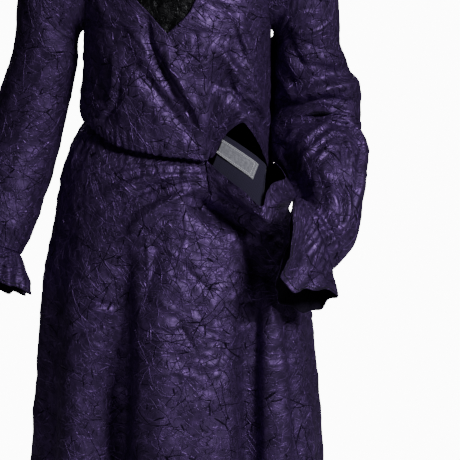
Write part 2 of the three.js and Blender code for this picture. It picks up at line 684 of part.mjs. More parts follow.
// Shares of each sleeve's length at which it has a row: close together at the bent elbow and at the wrist.
const LEFT_ROWS = [
  0, 0.03, 0.07, 0.14, 0.22, 0.3, 0.37, 0.42, 0.46, 0.49, 0.515, 0.54, 0.565, 0.59, 0.615, 0.64,
  0.665, 0.69, 0.72, 0.75, 0.79, 0.83, 0.87, 0.905, 0.935, 0.96, 0.98, 1,
];
const RIGHT_ROWS = [0, 0.04, 0.1, 0.18, 0.27, 0.36, 0.46, 0.56, 0.66, 0.76, 0.84, 0.9, 0.945, 0.975, 1];

// A sleeve with its folds and the gathers into its elastic. Its outside is on the same side for both arms.
function sleeve(stations, folds, mirror) {
  const plain = loft(stations);
  const tube = (turn, at) => plain(mirror * turn, at);
  return (turn, at) => {
    const psi = mirror * turn;
    const gathered = ramp(at, 0.84, 0.94) * (1 - ramp(at, 0.97, 1));
    let height = WRIST_GATHER_DEPTH * gathered * Math.cos(Math.PI * columnAt(psi));
    for (const f of folds) {
      const away = Math.abs(THREE.MathUtils.euclideanModulo(psi - f.psi + 180, 360) - 180) / f.spread;
      height += f.depth * Math.exp(-(((at - f.at) / f.width) ** 2) - away * away);
    }
    return tube(turn, at).addScaledVector(normalOf(tube, turn, at, 0.5, 0.004), height);
  };
}

// The columns of a sleeve: the armhole's rows behind, the shoulder tip, those in front, and the underarm.
const TURNS_UP = ARMHOLE_ROWS.map((share) => THREE.MathUtils.radToDeg(Math.acos(2 * share - 1)));
const SLEEVE_TURNS = [...TURNS_UP.map((psi) => -psi), 0, ...[...TURNS_UP].reverse(), 180];

// The number of the column at an angle, with parts between columns. Every second one is a gather's crest.
function columnAt(psi) {
  const turn = THREE.MathUtils.euclideanModulo(psi + 180, 360) - 180;
  const turns = [-180, ...SLEEVE_TURNS];
  let i = 0;
  while (i < turns.length - 2 && turn > turns[i + 1]) i += 1;
  return i + (turn - turns[i]) / (turns[i + 1] - turns[i]);
}

// A sleeve's wall, sewn to the bodice at its first row and flat against the elastic at its last.
function sleeveWall(name, stations, folds, mirror, shares, wristCentre) {
  const surface = sleeve(stations, folds, mirror);
  const rows = shares.map((at) => SLEEVE_TURNS.map((turn) => [turn, at]));
  const finish = (turn, at, point, normal) => {
    if (at === 0) normal.copy(armholeLine(mirror * turn, mirror).out);
    if (at === 1) normal.copy(point).sub(wristCentre).normalize();
  };
  return gridWall(name, satin, surface, rows, { closed: true, du: 0.5, finish });
}

// A ruffle's wall, whose first row lies along the elastic.
function ruffleWall(name, surface, rowCount, wristCentre) {
  const turns = Array.from({ length: RUFFLE_STEPS }, (_, j) => (j * 360) / RUFFLE_STEPS);
  const rows = evenly(rowCount).map((at) => turns.map((turn) => [turn, at]));
  const finish = (turn, at, point, normal) => {
    if (at === 0) normal.copy(point).sub(wristCentre).normalize();
  };
  return gridWall(name, satin, surface, rows, { closed: true, du: 0.5, finish });
}
const evenly = (count) => Array.from({ length: count + 1 }, (_, i) => i / count);

// The left ruffle's hem, point by point round the wrist from its top over the near side.
const LEFT_HEM = [
  { turn: 0, x: 181, y: -192, z: -474 },
  { turn: 24, x: 180, y: -222, z: -508 },
  { turn: 48, x: 176, y: -232, z: -550 },
  { turn: 76, x: 163, y: -226, z: -587 },
  { turn: 104, x: 186, y: -214, z: -611 },
  { turn: 130, x: 214, y: -200, z: -610 },
  { turn: 160, x: 250, y: -166, z: -626 },
  { turn: 184, x: 234, y: -154, z: -642 },
  { turn: 208, x: 214, y: -148, z: -657 },
  { turn: 234, x: 182, y: -152, z: -650 },
  { turn: 258, x: 158, y: -160, z: -632 },
  { turn: 284, x: 156, y: -166, z: -608 },
  { turn: 310, x: 166, y: -168, z: -574 },
  { turn: 336, x: 176, y: -168, z: -524 },
  { turn: 360, x: 181, y: -192, z: -474 },
];
const RUFFLE_WAVES = 12;
const LEFT_WAVE = 3.2;
const RIGHT_WAVE = 6;

// The ruffle below the elastic: from its gathered ring to a waved hem.
function leftRuffle(psi, at) {
  const turn = THREE.MathUtils.euclideanModulo(180 - psi - WRIST_TURN, 360);
  const start = leftWrist(0, SEAM_GAP)(psi);
  const hem = V(...["x", "y", "z"].map((name) => read(LEFT_HEM, "turn", name, turn)));
  const p = start.clone().lerp(hem, at);
  const middle = WRIST.clone().addScaledVector(WRIST_FACE, 40 * at);
  const outward = p.clone().sub(middle).normalize();
  const belly = 5 * Math.sin(Math.PI * clamp(at, 0, 1));
  const wave = LEFT_WAVE * ramp(at, 0.05, 0.9) * Math.sin(rad(psi * RUFFLE_WAVES));
  return p.addScaledVector(outward, belly + wave);
}
const RIGHT_SPREAD = 26; // how much wider the hem is than the wrist
const RIGHT_RUFFLE_LENGTH = 58;
function rightRuffle(turn, at) {
  const psi = -turn;
  const start = rightWrist(0, SEAM_GAP)(psi);
  const spread = rightWrist(RIGHT_SPREAD, RIGHT_RUFFLE_LENGTH)(psi);
  const middle = V(-RIGHT_WRIST.x, RIGHT_WRIST.y, RIGHT_WRIST.z - 40 * at);
  const p = start.clone().lerp(spread, at);
  const outward = p.clone().sub(middle).normalize();
  const wave = RIGHT_WAVE * ramp(at, 0.05, 0.9) * Math.sin(rad(psi * RUFFLE_WAVES));
  return p.addScaledVector(outward, wave + 4 * Math.sin(Math.PI * clamp(at, 0, 1)));
}

// The navy flap behind the opening, sewn inside the skirt's pulled edge and standing up from it.
// share runs along the edge from the start of the opening, and the table gives the flap's top line.
const FLAP_TOP = [
  { share: 0, x: 76, y: -84, z: -384 },
  { share: 0.35, x: 108, y: -92, z: -404 },
  { share: 0.7, x: 132, y: -96, z: -422 },
  { share: 0.88, x: 141, y: -101, z: -433 },
  { share: 1, x: 139, y: -116, z: -446 },
];
const FLAP_START = 21; // degrees
const FLAP_END = 51;
const FLAP_LIFT = (WALL + THIN_WALL) / 2 + SEAM_GAP;
const START_LIFT = 1.2; // more at the flap's first corner, where the skirt's edge turns in
function flap(share, up) {
  const phi = lerp(FLAP_START, FLAP_END, share);
  const lift = FLAP_LIFT + START_LIFT * (1 - ramp(share, 0, 0.15));
  const inward = normalOf(skirt, phi, SKIRT_ROWS[1], 0.4, 0.004).multiplyScalar(lift);
  const low = skirt(phi, SKIRT_ROWS[1]).add(inward);
  const high = V(...["x", "y", "z"].map((axis) => read(FLAP_TOP, "share", axis, share)));
  return low.lerp(high, up);
}
const FLAP_STEPS = 10;
const FLAP_ROWS = [0, 0.2, 0.47, 0.66, 0.86, 1];
const PATCH_STEPS = 7; // of the flap's steps, from its start
const PATCH_ROWS = FLAP_ROWS.slice(2, 5);
const PATCH_LIFT = THIN_WALL + SEAM_GAP;
function patch(share, up) {
  return flap(share, up).addScaledVector(normalOf(flap, share, up, 0.01, 0.01), PATCH_LIFT);
}

// The black inset behind the V, parallel to the bodice's front.
const INSET_TOP_Z = -92;
const INSET_LAP = 9;
const INSET_DEPTH = 4.1;
const INSET_BELOW = 16; // under the V's point
function inset(across, share) {
  const z = lerp(V_POINT_Z - INSET_BELOW, INSET_TOP_Z, share);
  const neckZ = Math.max(z, V_POINT_Z);
  const right = phiAt(read(FRONT_NECK, "z", "right", neckZ) - INSET_LAP, neckZ);
  const left = phiAt(read(FRONT_NECK, "z", "left", neckZ) + INSET_LAP, neckZ);
  const phi = lerp(right, left, across);
  const level = z > UNDERARM_Z ? levelAt(z) : 1 - (UNDERARM_Z - z) / (UNDERARM_Z - waistZ(phi));
  return bodice(phi, level).addScaledVector(normalOf(bodice, phi, level, 0.4, 0.004), -INSET_DEPTH);
}

const satin = new THREE.MeshStandardMaterial({ color: 0x3a2a5c, roughness: 0.42, metalness: 0.1 });
const navy = new THREE.MeshStandardMaterial({ color: 0x2b2740, roughness: 0.8, metalness: 0 });
const grey = new THREE.MeshStandardMaterial({ color: 0x8d8d96, roughness: 0.95, metalness: 0 });
const black = new THREE.MeshStandardMaterial({ color: 0x0c0b0f, roughness: 0.35, metalness: 0.1 });

const gridRows = (us, vs) => vs.map((v) => us.map((u) => [u, v]));
function skirtPanel(name, steps, shares, from, facing) {
  const angles = Array.from({ length: steps + 1 }, (_, j) => from + (180 * j) / steps);
  const surface = (phi, down) => skirt(wrap(phi), -down);
  const rows = gridRows(angles, shares.map((share) => -share).reverse());
  const finish = (phi, down, point, normal) => {
    if (down === 0) sewToWaist(phi, point, normal, -1);
    sewToSide(phi, point, facing);
  };
  return gridWall(name, satin, surface, rows, { finish });
}

const leftStations = [
  armholeRing(1),
  ...SLEEVE_CAP.map((row) => capRing(row, 1)),
  ...LEFT_SLEEVE.map((row) => sleeveRing(row, 1)),
  leftWrist(0, 0),
];
const rightStations = [
  armholeRing(-1),
  ...SLEEVE_CAP.map((row) => capRing(row, -1)),
  ...RIGHT_SLEEVE.map((row) => sleeveRing(row, -1)),
  rightWrist(0, 0),
];
const rightWristCentre = V(-RIGHT_WRIST.x, RIGHT_WRIST.y, RIGHT_WRIST.z);
const fine = { thickness: THIN_WALL, du: 0.01, dv: 0.01 };
const patchColumns = evenly(FLAP_STEPS).slice(0, PATCH_STEPS + 1);

const dress = new THREE.Group();
dress.add(
  bodicePanel("bodice_front", satin, FRONT_HALF_STEPS, FRONT_LOW_ROWS, 0, V_POINT_Z, frontEdge),
  bodicePanel("bodice_back", satin, BACK_HALF_STEPS, BACK_LOW_ROWS, 180, BACK_NECK_Z, backEdge),
  skirtPanel("skirt_front", SKIRT_FRONT_STEPS, SKIRT_ROWS, -90, 1),
  skirtPanel("skirt_back", SKIRT_BACK_STEPS, BACK_ROWS, 90, -1),
  sleeveWall("sleeve_left", leftStations, ELBOW_FOLDS, 1, LEFT_ROWS, WRIST),
  sleeveWall("sleeve_right", rightStations, [], -1, RIGHT_ROWS, rightWristCentre),
  ruffleWall("ruffle_left", leftRuffle, 3, WRIST),
  ruffleWall("ruffle_right", rightRuffle, 2, rightWristCentre),
  gridWall("opening_flap", navy, flap, gridRows(evenly(FLAP_STEPS), FLAP_ROWS), fine),
  gridWall("loop_patch", grey, patch, gridRows(patchColumns, PATCH_ROWS), fine),
  gridWall("neck_inset", black, inset, gridRows(evenly(10), evenly(8)), fine),
);

export default dress;
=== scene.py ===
"""A long-sleeved witch dress in crushed satin: thin cloth shells, creases, sewing, light and camera."""

import json
import logging
import math
from collections.abc import Callable
from dataclasses import dataclass, field
from enum import Enum

import bpy
import numpy as np
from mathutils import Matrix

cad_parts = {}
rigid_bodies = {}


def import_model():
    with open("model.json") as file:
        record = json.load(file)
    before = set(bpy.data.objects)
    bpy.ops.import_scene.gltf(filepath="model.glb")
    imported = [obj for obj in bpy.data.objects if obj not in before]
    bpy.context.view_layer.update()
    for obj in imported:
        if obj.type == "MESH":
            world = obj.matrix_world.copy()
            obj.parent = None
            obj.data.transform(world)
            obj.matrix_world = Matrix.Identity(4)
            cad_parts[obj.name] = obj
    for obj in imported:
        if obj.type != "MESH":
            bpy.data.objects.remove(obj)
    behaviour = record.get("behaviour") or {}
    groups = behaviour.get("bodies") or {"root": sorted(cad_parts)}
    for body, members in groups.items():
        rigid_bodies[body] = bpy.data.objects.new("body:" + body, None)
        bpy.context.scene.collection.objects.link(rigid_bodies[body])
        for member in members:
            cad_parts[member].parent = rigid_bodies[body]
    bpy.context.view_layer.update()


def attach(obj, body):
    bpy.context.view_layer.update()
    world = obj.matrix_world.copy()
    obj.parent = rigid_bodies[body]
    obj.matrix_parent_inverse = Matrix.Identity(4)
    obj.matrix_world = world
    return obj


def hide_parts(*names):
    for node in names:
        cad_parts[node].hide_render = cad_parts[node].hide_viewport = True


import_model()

log = logging.getLogger("witch_dress")
Array = np.ndarray
Table = dict[str, Array]
Surface = Callable[[Array, Array], Array]
Ring = Callable[[Array], Array]
Material = bpy.types.Material
Piece = bpy.types.Object
Socket = bpy.types.NodeSocket

# Sizes are in millimetres until a mesh is made.
MM = 0.001
BODY = "root"
SEAM_GAP = 0.3
CAD_WALL = 2.0
CAD_THIN_WALL = 1.4
UNDERARM_Z = -222.0
SHOULDER_TIP_Z = -45.0
HEM_Z = -1330.0
NECK_POINT_Z = -1.0
SEWN_FADE = 9.0  # how far from a sewn edge the cloth is still smooth
RING_FADE = 10.0  # the same at the rings of a sleeve or ruffle
GATHER_COUNT = 30  # gathers round a wrist's elastic
GATHER_HEIGHT = 1.3
AXES = ("x", "y", "z")


def table(names: str, *rows: tuple[float, ...]) -> Table:
    """Makes a table with one array for each named column.

    Args:
        names: The column names, with spaces between them.
        rows: The rows, each with one number for each name.

    Returns:
        The columns by name.
    """
    return dict(zip(names.split(), np.array(rows, float).T))


def read(source: Table, key: str, column: str, at: Array | float) -> Array:
    """Reads a column on a smooth curve that overshoots no row.

    Args:
        source: The table.
        key: The name of its rising key column.
        column: The name of the column to read.
        at: Values of the key.

    Returns:
        The column's values there.
    """
    xs, ys = source[key], source[column]
    slope = np.diff(ys) / np.diff(xs)
    both, total = slope[:-1] * slope[1:], slope[:-1] + slope[1:]
    inner = np.where(both > 0, 2 * both / np.where(total == 0, 1, total), 0)
    tangent = np.concatenate([slope[:1], inner, slope[-1:]])
    place = np.clip(at, xs[0], xs[-1])
    i = np.clip(np.searchsorted(xs, place, side="right") - 1, 0, len(xs) - 2)
    step = xs[i + 1] - xs[i]
    t = (place - xs[i]) / step
    ends = ys[i] * (2 * t**3 - 3 * t**2 + 1) + ys[i + 1] * (3 * t**2 - 2 * t**3)
    return ends + step * (tangent[i] * (t**3 - 2 * t**2 + t) + tangent[i + 1] * (t**3 - t**2))


def xyz(x: Array | float, y: Array | float, z: Array | float) -> Array:
    """Stacks three coordinates into points."""
    return np.stack(np.broadcast_arrays(x, y, z), -1).astype(float)


def read_point(source: Table, key: str, at: Array) -> Array:
    """Reads the x, y and z columns of a table as points."""
    return xyz(*(read(source, key, axis, at) for axis in AXES))


def ramp(value: Array | float, low: float, high: float) -> Array:
    """Gives 0 below low, 1 above high and a smooth curve between."""
    t = np.clip((np.asarray(value, float) - low) / (high - low), 0, 1)
    return t * t * (3 - 2 * t)


def wrap(angle: Array) -> Array:
    """Brings angles in degrees to -180 to 180."""
    return np.where(angle > 180, angle - 360, np.where(angle < -180, angle + 360, angle))


def unit(vectors: Array) -> Array:
    """Scales vectors to length 1."""
    return vectors / np.maximum(np.linalg.norm(vectors, axis=-1, keepdims=True), 1e-9)


def mix(start: Array | float, end: Array | float, share: Array | float) -> Array:
    """Goes from start to end by a share."""
    return start + (end - start) * share


def away_from(angle: Array, centre: float) -> Array:
    """Gives how far angles are from a centre, the short way round."""
    return np.abs((angle - centre + 180) % 360 - 180)


def normal_of(surface: Surface, u: Array, v: Array, du: float, dv: float) -> Array:
    """Gives the outward direction of a surface from small steps to each side."""
    across = surface(u + du, v) - surface(u - du, v)
    return unit(np.cross(across, surface(u, v + dv) - surface(u, v - dv)))


TORSO = table(
    "z half front back square",
    (-450, 134, 97, 87, 2.3),
    (-400, 134, 99, 87, 2.3),
    (-345, 140, 110, 93, 2.3),
    (-270, 147, 121, 103, 2.3),
    (UNDERARM_Z, 150, 118, 108, 2.3),
    (-150, 165, 106, 108, 2.3),
    (-100, 178, 94, 102, 2.2),
    (SHOULDER_TIP_Z, 188, 74, 84, 2.1),
    (-15, 120, 54, 68, 2.1),
    (0, 90, 44, 60, 2.1),
)
WAIST = table(
    "phi z",
    (-180, -402), (-135, -382), (-90, -352), (-65, -368), (-45, -388), (-28, -400), (0, -411),
    (18, -418), (45, -430), (70, -440), (90, -447), (135, -430), (180, -402),
)
BLOUSE = table(
    "share rise out",
    (0, 0, 0), (0.05, 1, 8), (0.1, -6, 15), (0.16, -4, 18), (0.23, 8, 19), (0.34, 30, 16),
    (0.5, 75, 10), (0.75, 140, 4), (1, 205, 0),
)
BLOUSE_HEIGHT = 205.0
PUFF = table("share out", (0, 0), (0.12, 4), (0.3, 7), (0.6, 7), (0.85, 3), (1, 0))
PUFF_PHI, PUFF_SPREAD = 120.0, 15.0
OPENING_START, OPENING_END = 18.0, 88.0
ARCH = table(
    "phi z out",
    (14, -421, 16), (20, -417, 17), (25, -391, 22), (30, -370, 28), (36, -360, 33), (42, -372, 33),
    (50, -393, 30), (58, -411, 25), (70, -432, 18), (80, -444, 14), (90, -447, 12),
)
FRONT_NECK = table(
    "z right left",
    (UNDERARM_Z, -14, -14), (-205, -29, 5), (-190, -43, 20), (-170, -61, 30), (-130, -73, 54),
    (-80, -80, 72), (-30, -84, 82), (NECK_POINT_Z, -84, 84),
)
V_POINT_X = -14.0
BACK_NECK_Z = -26.0
BACK_NECK = table("z half", (BACK_NECK_Z, 0), (-24, 34), (-18, 60), (-8, 76), (NECK_POINT_Z, 84))
ARMHOLE = table(
    "z x",
    (UNDERARM_Z, 150), (-212, 148), (-190, 145), (-150, 143), (-100, 147), (-72, 158), (-55, 173),
    (SHOULDER_TIP_Z, 188),
)
FOLD_NAMES = "x1 z1 x2 z2 bend width depth"
BODICE_FOLDS = table(
    FOLD_NAMES,
    (-52, -200, 36, -384, 8, 13, -9), (-16, -254, 56, -392, 6, 14, 6),
    (-92, -212, -4, -345, 8, 14, -7), (74, -206, 98, -282, -4, 13, -7),
    (94, -204, 126, -330, -7, 14, 6), (62, -246, 140, -396, -12, 13, 9),
    (50, -290, 114, -366, -12, 14, -11), (-120, -256, -114, -338, 4, 12, -6),
    (-122, -352, -84, -372, -4, 13, -6),
)
SKIRT_FLARE = table(
    "drop side front back",
    (0, 0, 0, 0), (8, 2, 2, 2), (22, 14, 12, 13), (45, 30, 23, 30), (90, 48, 38, 54),
    (170, 66, 54, 80), (235, 84, 66, 93), (370, 100, 86, 112), (505, 113, 102, 128),
    (900, 154, 148, 172),
)
SKIRT_LENGTH = 900.0
FLUTES = table(
    "phi width depth",
    (-160, 9, -26), (-136, 9, -24), (-111, 9, -26), (-88, 8, -22), (-64, 8, -22), (-45, 9, 10),
    (-28, 12, -56), (-7, 9, 14), (10, 14, 14), (34, 7, -40), (46, 6, 12), (53, 4, -9), (62, 8, 9),
    (78, 7, -16), (100, 9, -24), (124, 9, -26), (148, 9, -24), (173, 9, -26),
)
PULLED_EDGE = table(
    "phi x y z",
    (OPENING_START, 43, -97, -419), (30, 76, -124, -445), (42, 106, -147, -465),
    (52, 134, -167, -486), (56, 142, -150, -464), (60, 151, -132, -454), (70, 172, -94, -450),
    (80, 156, -44, -434), (90, 134, 0, -447),
)
PULL_FADE = table("drop left", (0, 1), (14, 1), (28, 0.93), (44, 0.6), (66, 0.27), (110, 0.07), (180, 0))
SKIRT_FOLDS = table(
    FOLD_NAMES,
    (26, -482, 104, -524, 4, 15, -36), (116, -526, 142, -630, 0, 15, -16),
    (-110, -468, 10, -436, -5, 8, 5), (-100, -500, 14, -452, -6, 10, -6),
    (-84, -545, 24, -462, -8, 11, 6), (-66, -700, -30, -540, 6, 16, -10),
    (-166, -694, -118, -672, 2, 10, -8),
)
SLEEVE_CAP = table(
    "in_x in_z out_x out_z front back",
    (154, -226, 208, -59, 64, 66), (157, -230, 231, -90, 64, 66), (159, -234, 247, -130, 62, 64),
    (160, -239, 256, -172, 60, 62), (161, -248, 259, -215, 58, 60),
)
STATION_NAMES = "x y z dx dy dz out in_ front back"
LEFT_SLEEVE = table(
    STATION_NAMES,
    (211, 3, -262, 0.15, 0, -0.99, 52, 52, 58, 58),
    (221, 6, -306, 0.2, -0.05, -0.97, 62, 64, 60, 60),
    (234, 8, -346, 0.1, -0.2, -0.97, 66, 75, 58, 62),
    (239, 0, -380, 0, -0.5, -0.86, 52, 78, 46, 68),
    (240, -32, -412, -0.05, -0.72, -0.69, 64, 80, 54, 70),
    (238, -66, -444, -0.07, -0.75, -0.66, 64, 63, 56, 74),
    (234, -98, -478, -0.25, -0.72, -0.66, 62, 48, 52, 76),
    (226, -124, -510, -0.6, -0.45, -0.66, 66, 33, 42, 64),
)
RIGHT_SLEEVE = table(
    STATION_NAMES,
    (213, 3, -272, 0.2, 0, -0.98, 54, 51, 58, 58),
    (232, 6, -345, 0.2, -0.05, -0.98, 60, 54, 60, 62),
    (250, 4, -410, 0.2, -0.15, -0.97, 62, 56, 62, 65),
    (268, -10, -470, 0.2, -0.28, -0.94, 63, 56, 62, 67),
    (284, -30, -530, 0.2, -0.3, -0.93, 58, 52, 54, 62),
)
ELBOW_FOLDS = table(
    "at psi spread width depth",
    (0.4, 90, 55, 0.03, -5), (0.49, 80, 75, 0.022, -11), (0.525, 70, 70, 0.02, 8),
    (0.574, 75, 80, 0.024, -11), (0.636, 60, 70, 0.024, 8), (0.675, 60, 60, 0.022, -6),
    (0.72, 40, 55, 0.028, 5), (0.63, 212, 40, 0.075, 16), (0.26, 200, 20, 0.06, 6),
    (0.4, 204, 17, 0.13, 15), (0.56, 206, 17, 0.08, 8), (0.715, 213, 17, 0.035, 3),
    (0.74, 195, 40, 0.05, 7), (0.15, 198, 22, 0.035, 4.5), (0.5, 206, 17, 0.03, 3.5),
    (0.66, 206, 20, 0.03, 4), (0.86, 192, 34, 0.045, 7),
)
WRIST = np.array([217.0, -150.0, -533.0])
WRIST_LONG = unit(np.array([0.37, 0.225, -0.9]))
WRIST_FACE = unit(np.array([-0.85, -0.25, -0.4]))
WRIST_NEAR = unit(np.cross(WRIST_FACE, WRIST_LONG))
WRIST_HALF_LONG, WRIST_HALF_SHORT, WRIST_TURN = 66.0, 31.0, 41.0
RIGHT_WRIST = table(STATION_NAMES, (294, -45, -574, 0.2, -0.3, -0.93, 40, 40, 44, 44))
LEFT_HEM = table(
    "turn x y z",
    (0, 181, -192, -474), (24, 180, -222, -508), (48, 176, -232, -550), (76, 163, -226, -587),
    (104, 186, -214, -611), (130, 214, -200, -610), (160, 250, -166, -626), (184, 234, -154, -642),
    (208, 214, -148, -657), (234, 182, -152, -650), (258, 158, -160, -632), (284, 156, -166, -608),
    (310, 166, -168, -574), (336, 176, -168, -524), (360, 181, -192, -474),
)
FLAP_TOP = table(
    "share x y z",
    (0, 76, -84, -384), (0.35, 108, -92, -404), (0.7, 132, -96, -422), (0.88, 141, -101, -433),
    (1, 139, -116, -446),
)


@dataclass(frozen=True)
class Viewpoint:
    """The picture's camera: a long lens, a little above the waist."""

    size: int = 460
    focal: float = 2151.9  # in steps of the picture's 460
    distance: float = 3400.0
    tilt: float = 9.0
    target: tuple[float, float, float] = (84.0, -110.0, -532.0)

    def position(self) -> Array:
        """Gives the camera's place."""
        tilt = math.radians(self.tilt)
        return np.array(self.target) + self.distance * np.array([0, -math.cos(tilt), math.sin(tilt)])

    def seen(self, points: Array) -> Array:
        """Gives where points appear in the picture, from its upper left corner."""
        tilt = math.radians(self.tilt)
        away = points - self.position()
        deep = away[..., 1] * math.cos(tilt) - away[..., 2] * math.sin(tilt)
        up = away[..., 1] * math.sin(tilt) + away[..., 2] * math.cos(tilt)
        half = self.size / 2
        return np.stack([half + self.focal * away[..., 0] / deep, half - self.focal * up / deep], -1)

    def facing(self, points: Array, normals: Array) -> Array:
        """Gives how squarely a surface faces the camera, from -1 to 1."""
        return -np.sum(unit(points - self.position()) * normals, -1)


VIEW = Viewpoint()


@dataclass(frozen=True)
class Crease:
    """One crease placed in the picture's frame: a ridge, or a valley when depth is negative.

    With recover it is a step instead: the cloth rises by depth over width, to the left of the path's way
    in the picture, and comes back to its own level over recover.
    """

    depth: float
    width: float
    path: tuple[float, ...]
    recover: float = 0.0

    def height(self, places: Array) -> Array:
        """Gives the crease's height at places in the picture."""
        line = np.array(self.path, float).reshape(-1, 2)
        steps = np.linalg.norm(np.diff(line, axis=0), axis=1)
        begin = np.concatenate([[0], np.cumsum(steps)])
        nearest = np.full(places.shape[:-1], 1e9)
        along = np.zeros(places.shape[:-1])
        side = np.zeros(places.shape[:-1])
        for k, step in enumerate(steps):
            way = (line[k + 1] - line[k]) / step
            from_start = places - line[k]
            t = np.clip(from_start @ way, 0, step)
            gap = np.linalg.norm(from_start - t[..., None] * way, axis=-1)
            along = np.where(gap < nearest, (begin[k] + t) / begin[-1], along)
            side = np.where(gap < nearest, way[1] * from_start[..., 0] - way[0] * from_start[..., 1], side)
            nearest = np.minimum(nearest, gap)
        if self.recover > 0:
            past = np.sign(side) * nearest
            fade = np.clip(4 * np.minimum(along, 1.06 - along), 0, 1)
            rise = ramp(past, -self.width / 2, self.width / 2)
            fall = np.exp(-((np.maximum(past, 0) / self.recover) ** 1.5))
            return self.depth * ramp(fade, 0, 1) * rise * fall
        soft = np.sqrt(nearest**2 + 0.16 * self.width**2) - 0.4 * self.width
        taper = np.sqrt(np.clip(np.sin(np.pi * np.clip(along, 0.02, 0.98)), 0, 1))
        return self.depth * taper * np.exp(-((soft / self.width) ** 1.3))


def creases(*rows: tuple[float, ...]) -> tuple[Crease, ...]:
    """Makes creases from rows of depth, width and path."""
    return tuple(Crease(depth, width, tuple(places)) for depth, width, *places in rows)


def creases_height(placed: tuple[Crease, ...], points: Array, normals: Array) -> Array:
    """Adds up creases on the side of a surface that the camera sees.

    Args:
        placed: The creases, in the picture's frame.
        points: The surface's points.
        normals: Its outward directions.

    Returns:
        The height to move each point by.
    """
    places = VIEW.seen(points)
    shown = ramp(VIEW.facing(points, normals), 0.05, 0.35)
    return shown * sum((crease.height(places) for crease in placed), np.zeros(shown.shape))


def fold_height(folds: Table, x: Array, z: Array) -> Array:
    """Adds up the large soft folds that are placed by x and z.

    Args:
        folds: The table of folds.
        x: The points' x.
        z: The points' z.

    Returns:
        The height of the folds at each point.
    """
    total = np.zeros(np.broadcast(x, z).shape)
    for x1, z1, x2, z2, bend, width, depth in zip(*(folds[name] for name in FOLD_NAMES.split())):
        dx, dz = x2 - x1, z2 - z1
        length = math.hypot(dx, dz)
        along = ((x - x1) * dx + (z - z1) * dz) / length**2
        t = np.clip(along, 0, 1)
        across = ((x - x1) * dz - (z - z1) * dx) / length - bend * 4 * t * (1 - t)
        past = np.abs(along - t) * length / width
        total += depth * (0.35 + 0.65 * np.sin(np.pi * t)) * np.exp(-((across / width) ** 2) - past**2)
    return total


@dataclass(frozen=True)
class Crush:
    """Flat facets with straight creases between them, as in cloth that was crushed and pressed."""

    seed: int
    depth: float = 1.0
    sizes: tuple[float, ...] = (46, 27, 15, 9)
    depths: tuple[float, ...] = (2.4, 1.7, 1.0, 0.55)
    lattice: int = 256

    def facets(self, u: Array, v: Array, size: float, turn: float, values: Array) -> Array:
        """Gives random heights on a triangular lattice, flat inside each triangle.

        Args:
            u: Places across the cloth.
            v: Places along the cloth.
            size: The lattice's step.
            turn: The angle it is turned by.
            values: The random heights.

        Returns:
            The height at each place, from -1 to 1.
        """
        c, s = math.cos(turn), math.sin(turn)
        x, y = (u * c - v * s) / size, (u * s + v * c) / size
        skew = (x + y) * (math.sqrt(3) - 1) / 2
        x, y = x + skew, y + skew
        i, j = np.floor(x).astype(int), np.floor(y).astype(int)
        fx, fy = x - i, y - j

        def corner(di: int, dj: int) -> Array:
            """Gives the random height of a lattice corner."""
            return values[(i + di) % self.lattice, (j + dj) % self.lattice]

        lower = corner(0, 0) * (1 - fx) + corner(1, 0) * (fx - fy) + corner(1, 1) * fy
        upper = corner(0, 0) * (1 - fy) + corner(0, 1) * (fy - fx) + corner(1, 1) * fx
        return np.where(fx > fy, lower, upper)

    def height(self, u: Array, v: Array) -> Array:
        """Gives the crushed cloth's height at places on it.

        Args:
            u: Places across the cloth.
            v: Places along the cloth.

        Returns:
            The height at each place.
        """
        rng = np.random.default_rng(self.seed)
        total = np.zeros(np.broadcast(u, v).shape)
        for size, depth in zip(self.sizes, self.depths):
            fields = rng.uniform(-1, 1, (4, self.lattice, self.lattice))
            turns = rng.uniform(0, 2 * np.pi, 4)
            wide = size * 1.8
            du = self.facets(u, v, wide, turns[0], fields[0]) * size * 0.8
            dv = self.facets(u, v, wide, turns[1], fields[1]) * size * 0.8
            flat = self.facets(u + du, v + dv, size, turns[2], fields[2])
            sharp = np.abs(self.facets(u + dv, v - du, size * 1.3, turns[3], fields[3]))
            total += depth * (0.55 * flat + 0.9 * (0.35 - sharp))
        return self.depth * total


def add_object(name: str, data: bpy.types.ID) -> Piece:
    """Puts a mesh, light or camera in the scene as an object."""
    made = bpy.data.objects.new(name, data)
    bpy.context.scene.collection.objects.link(made)
    return made


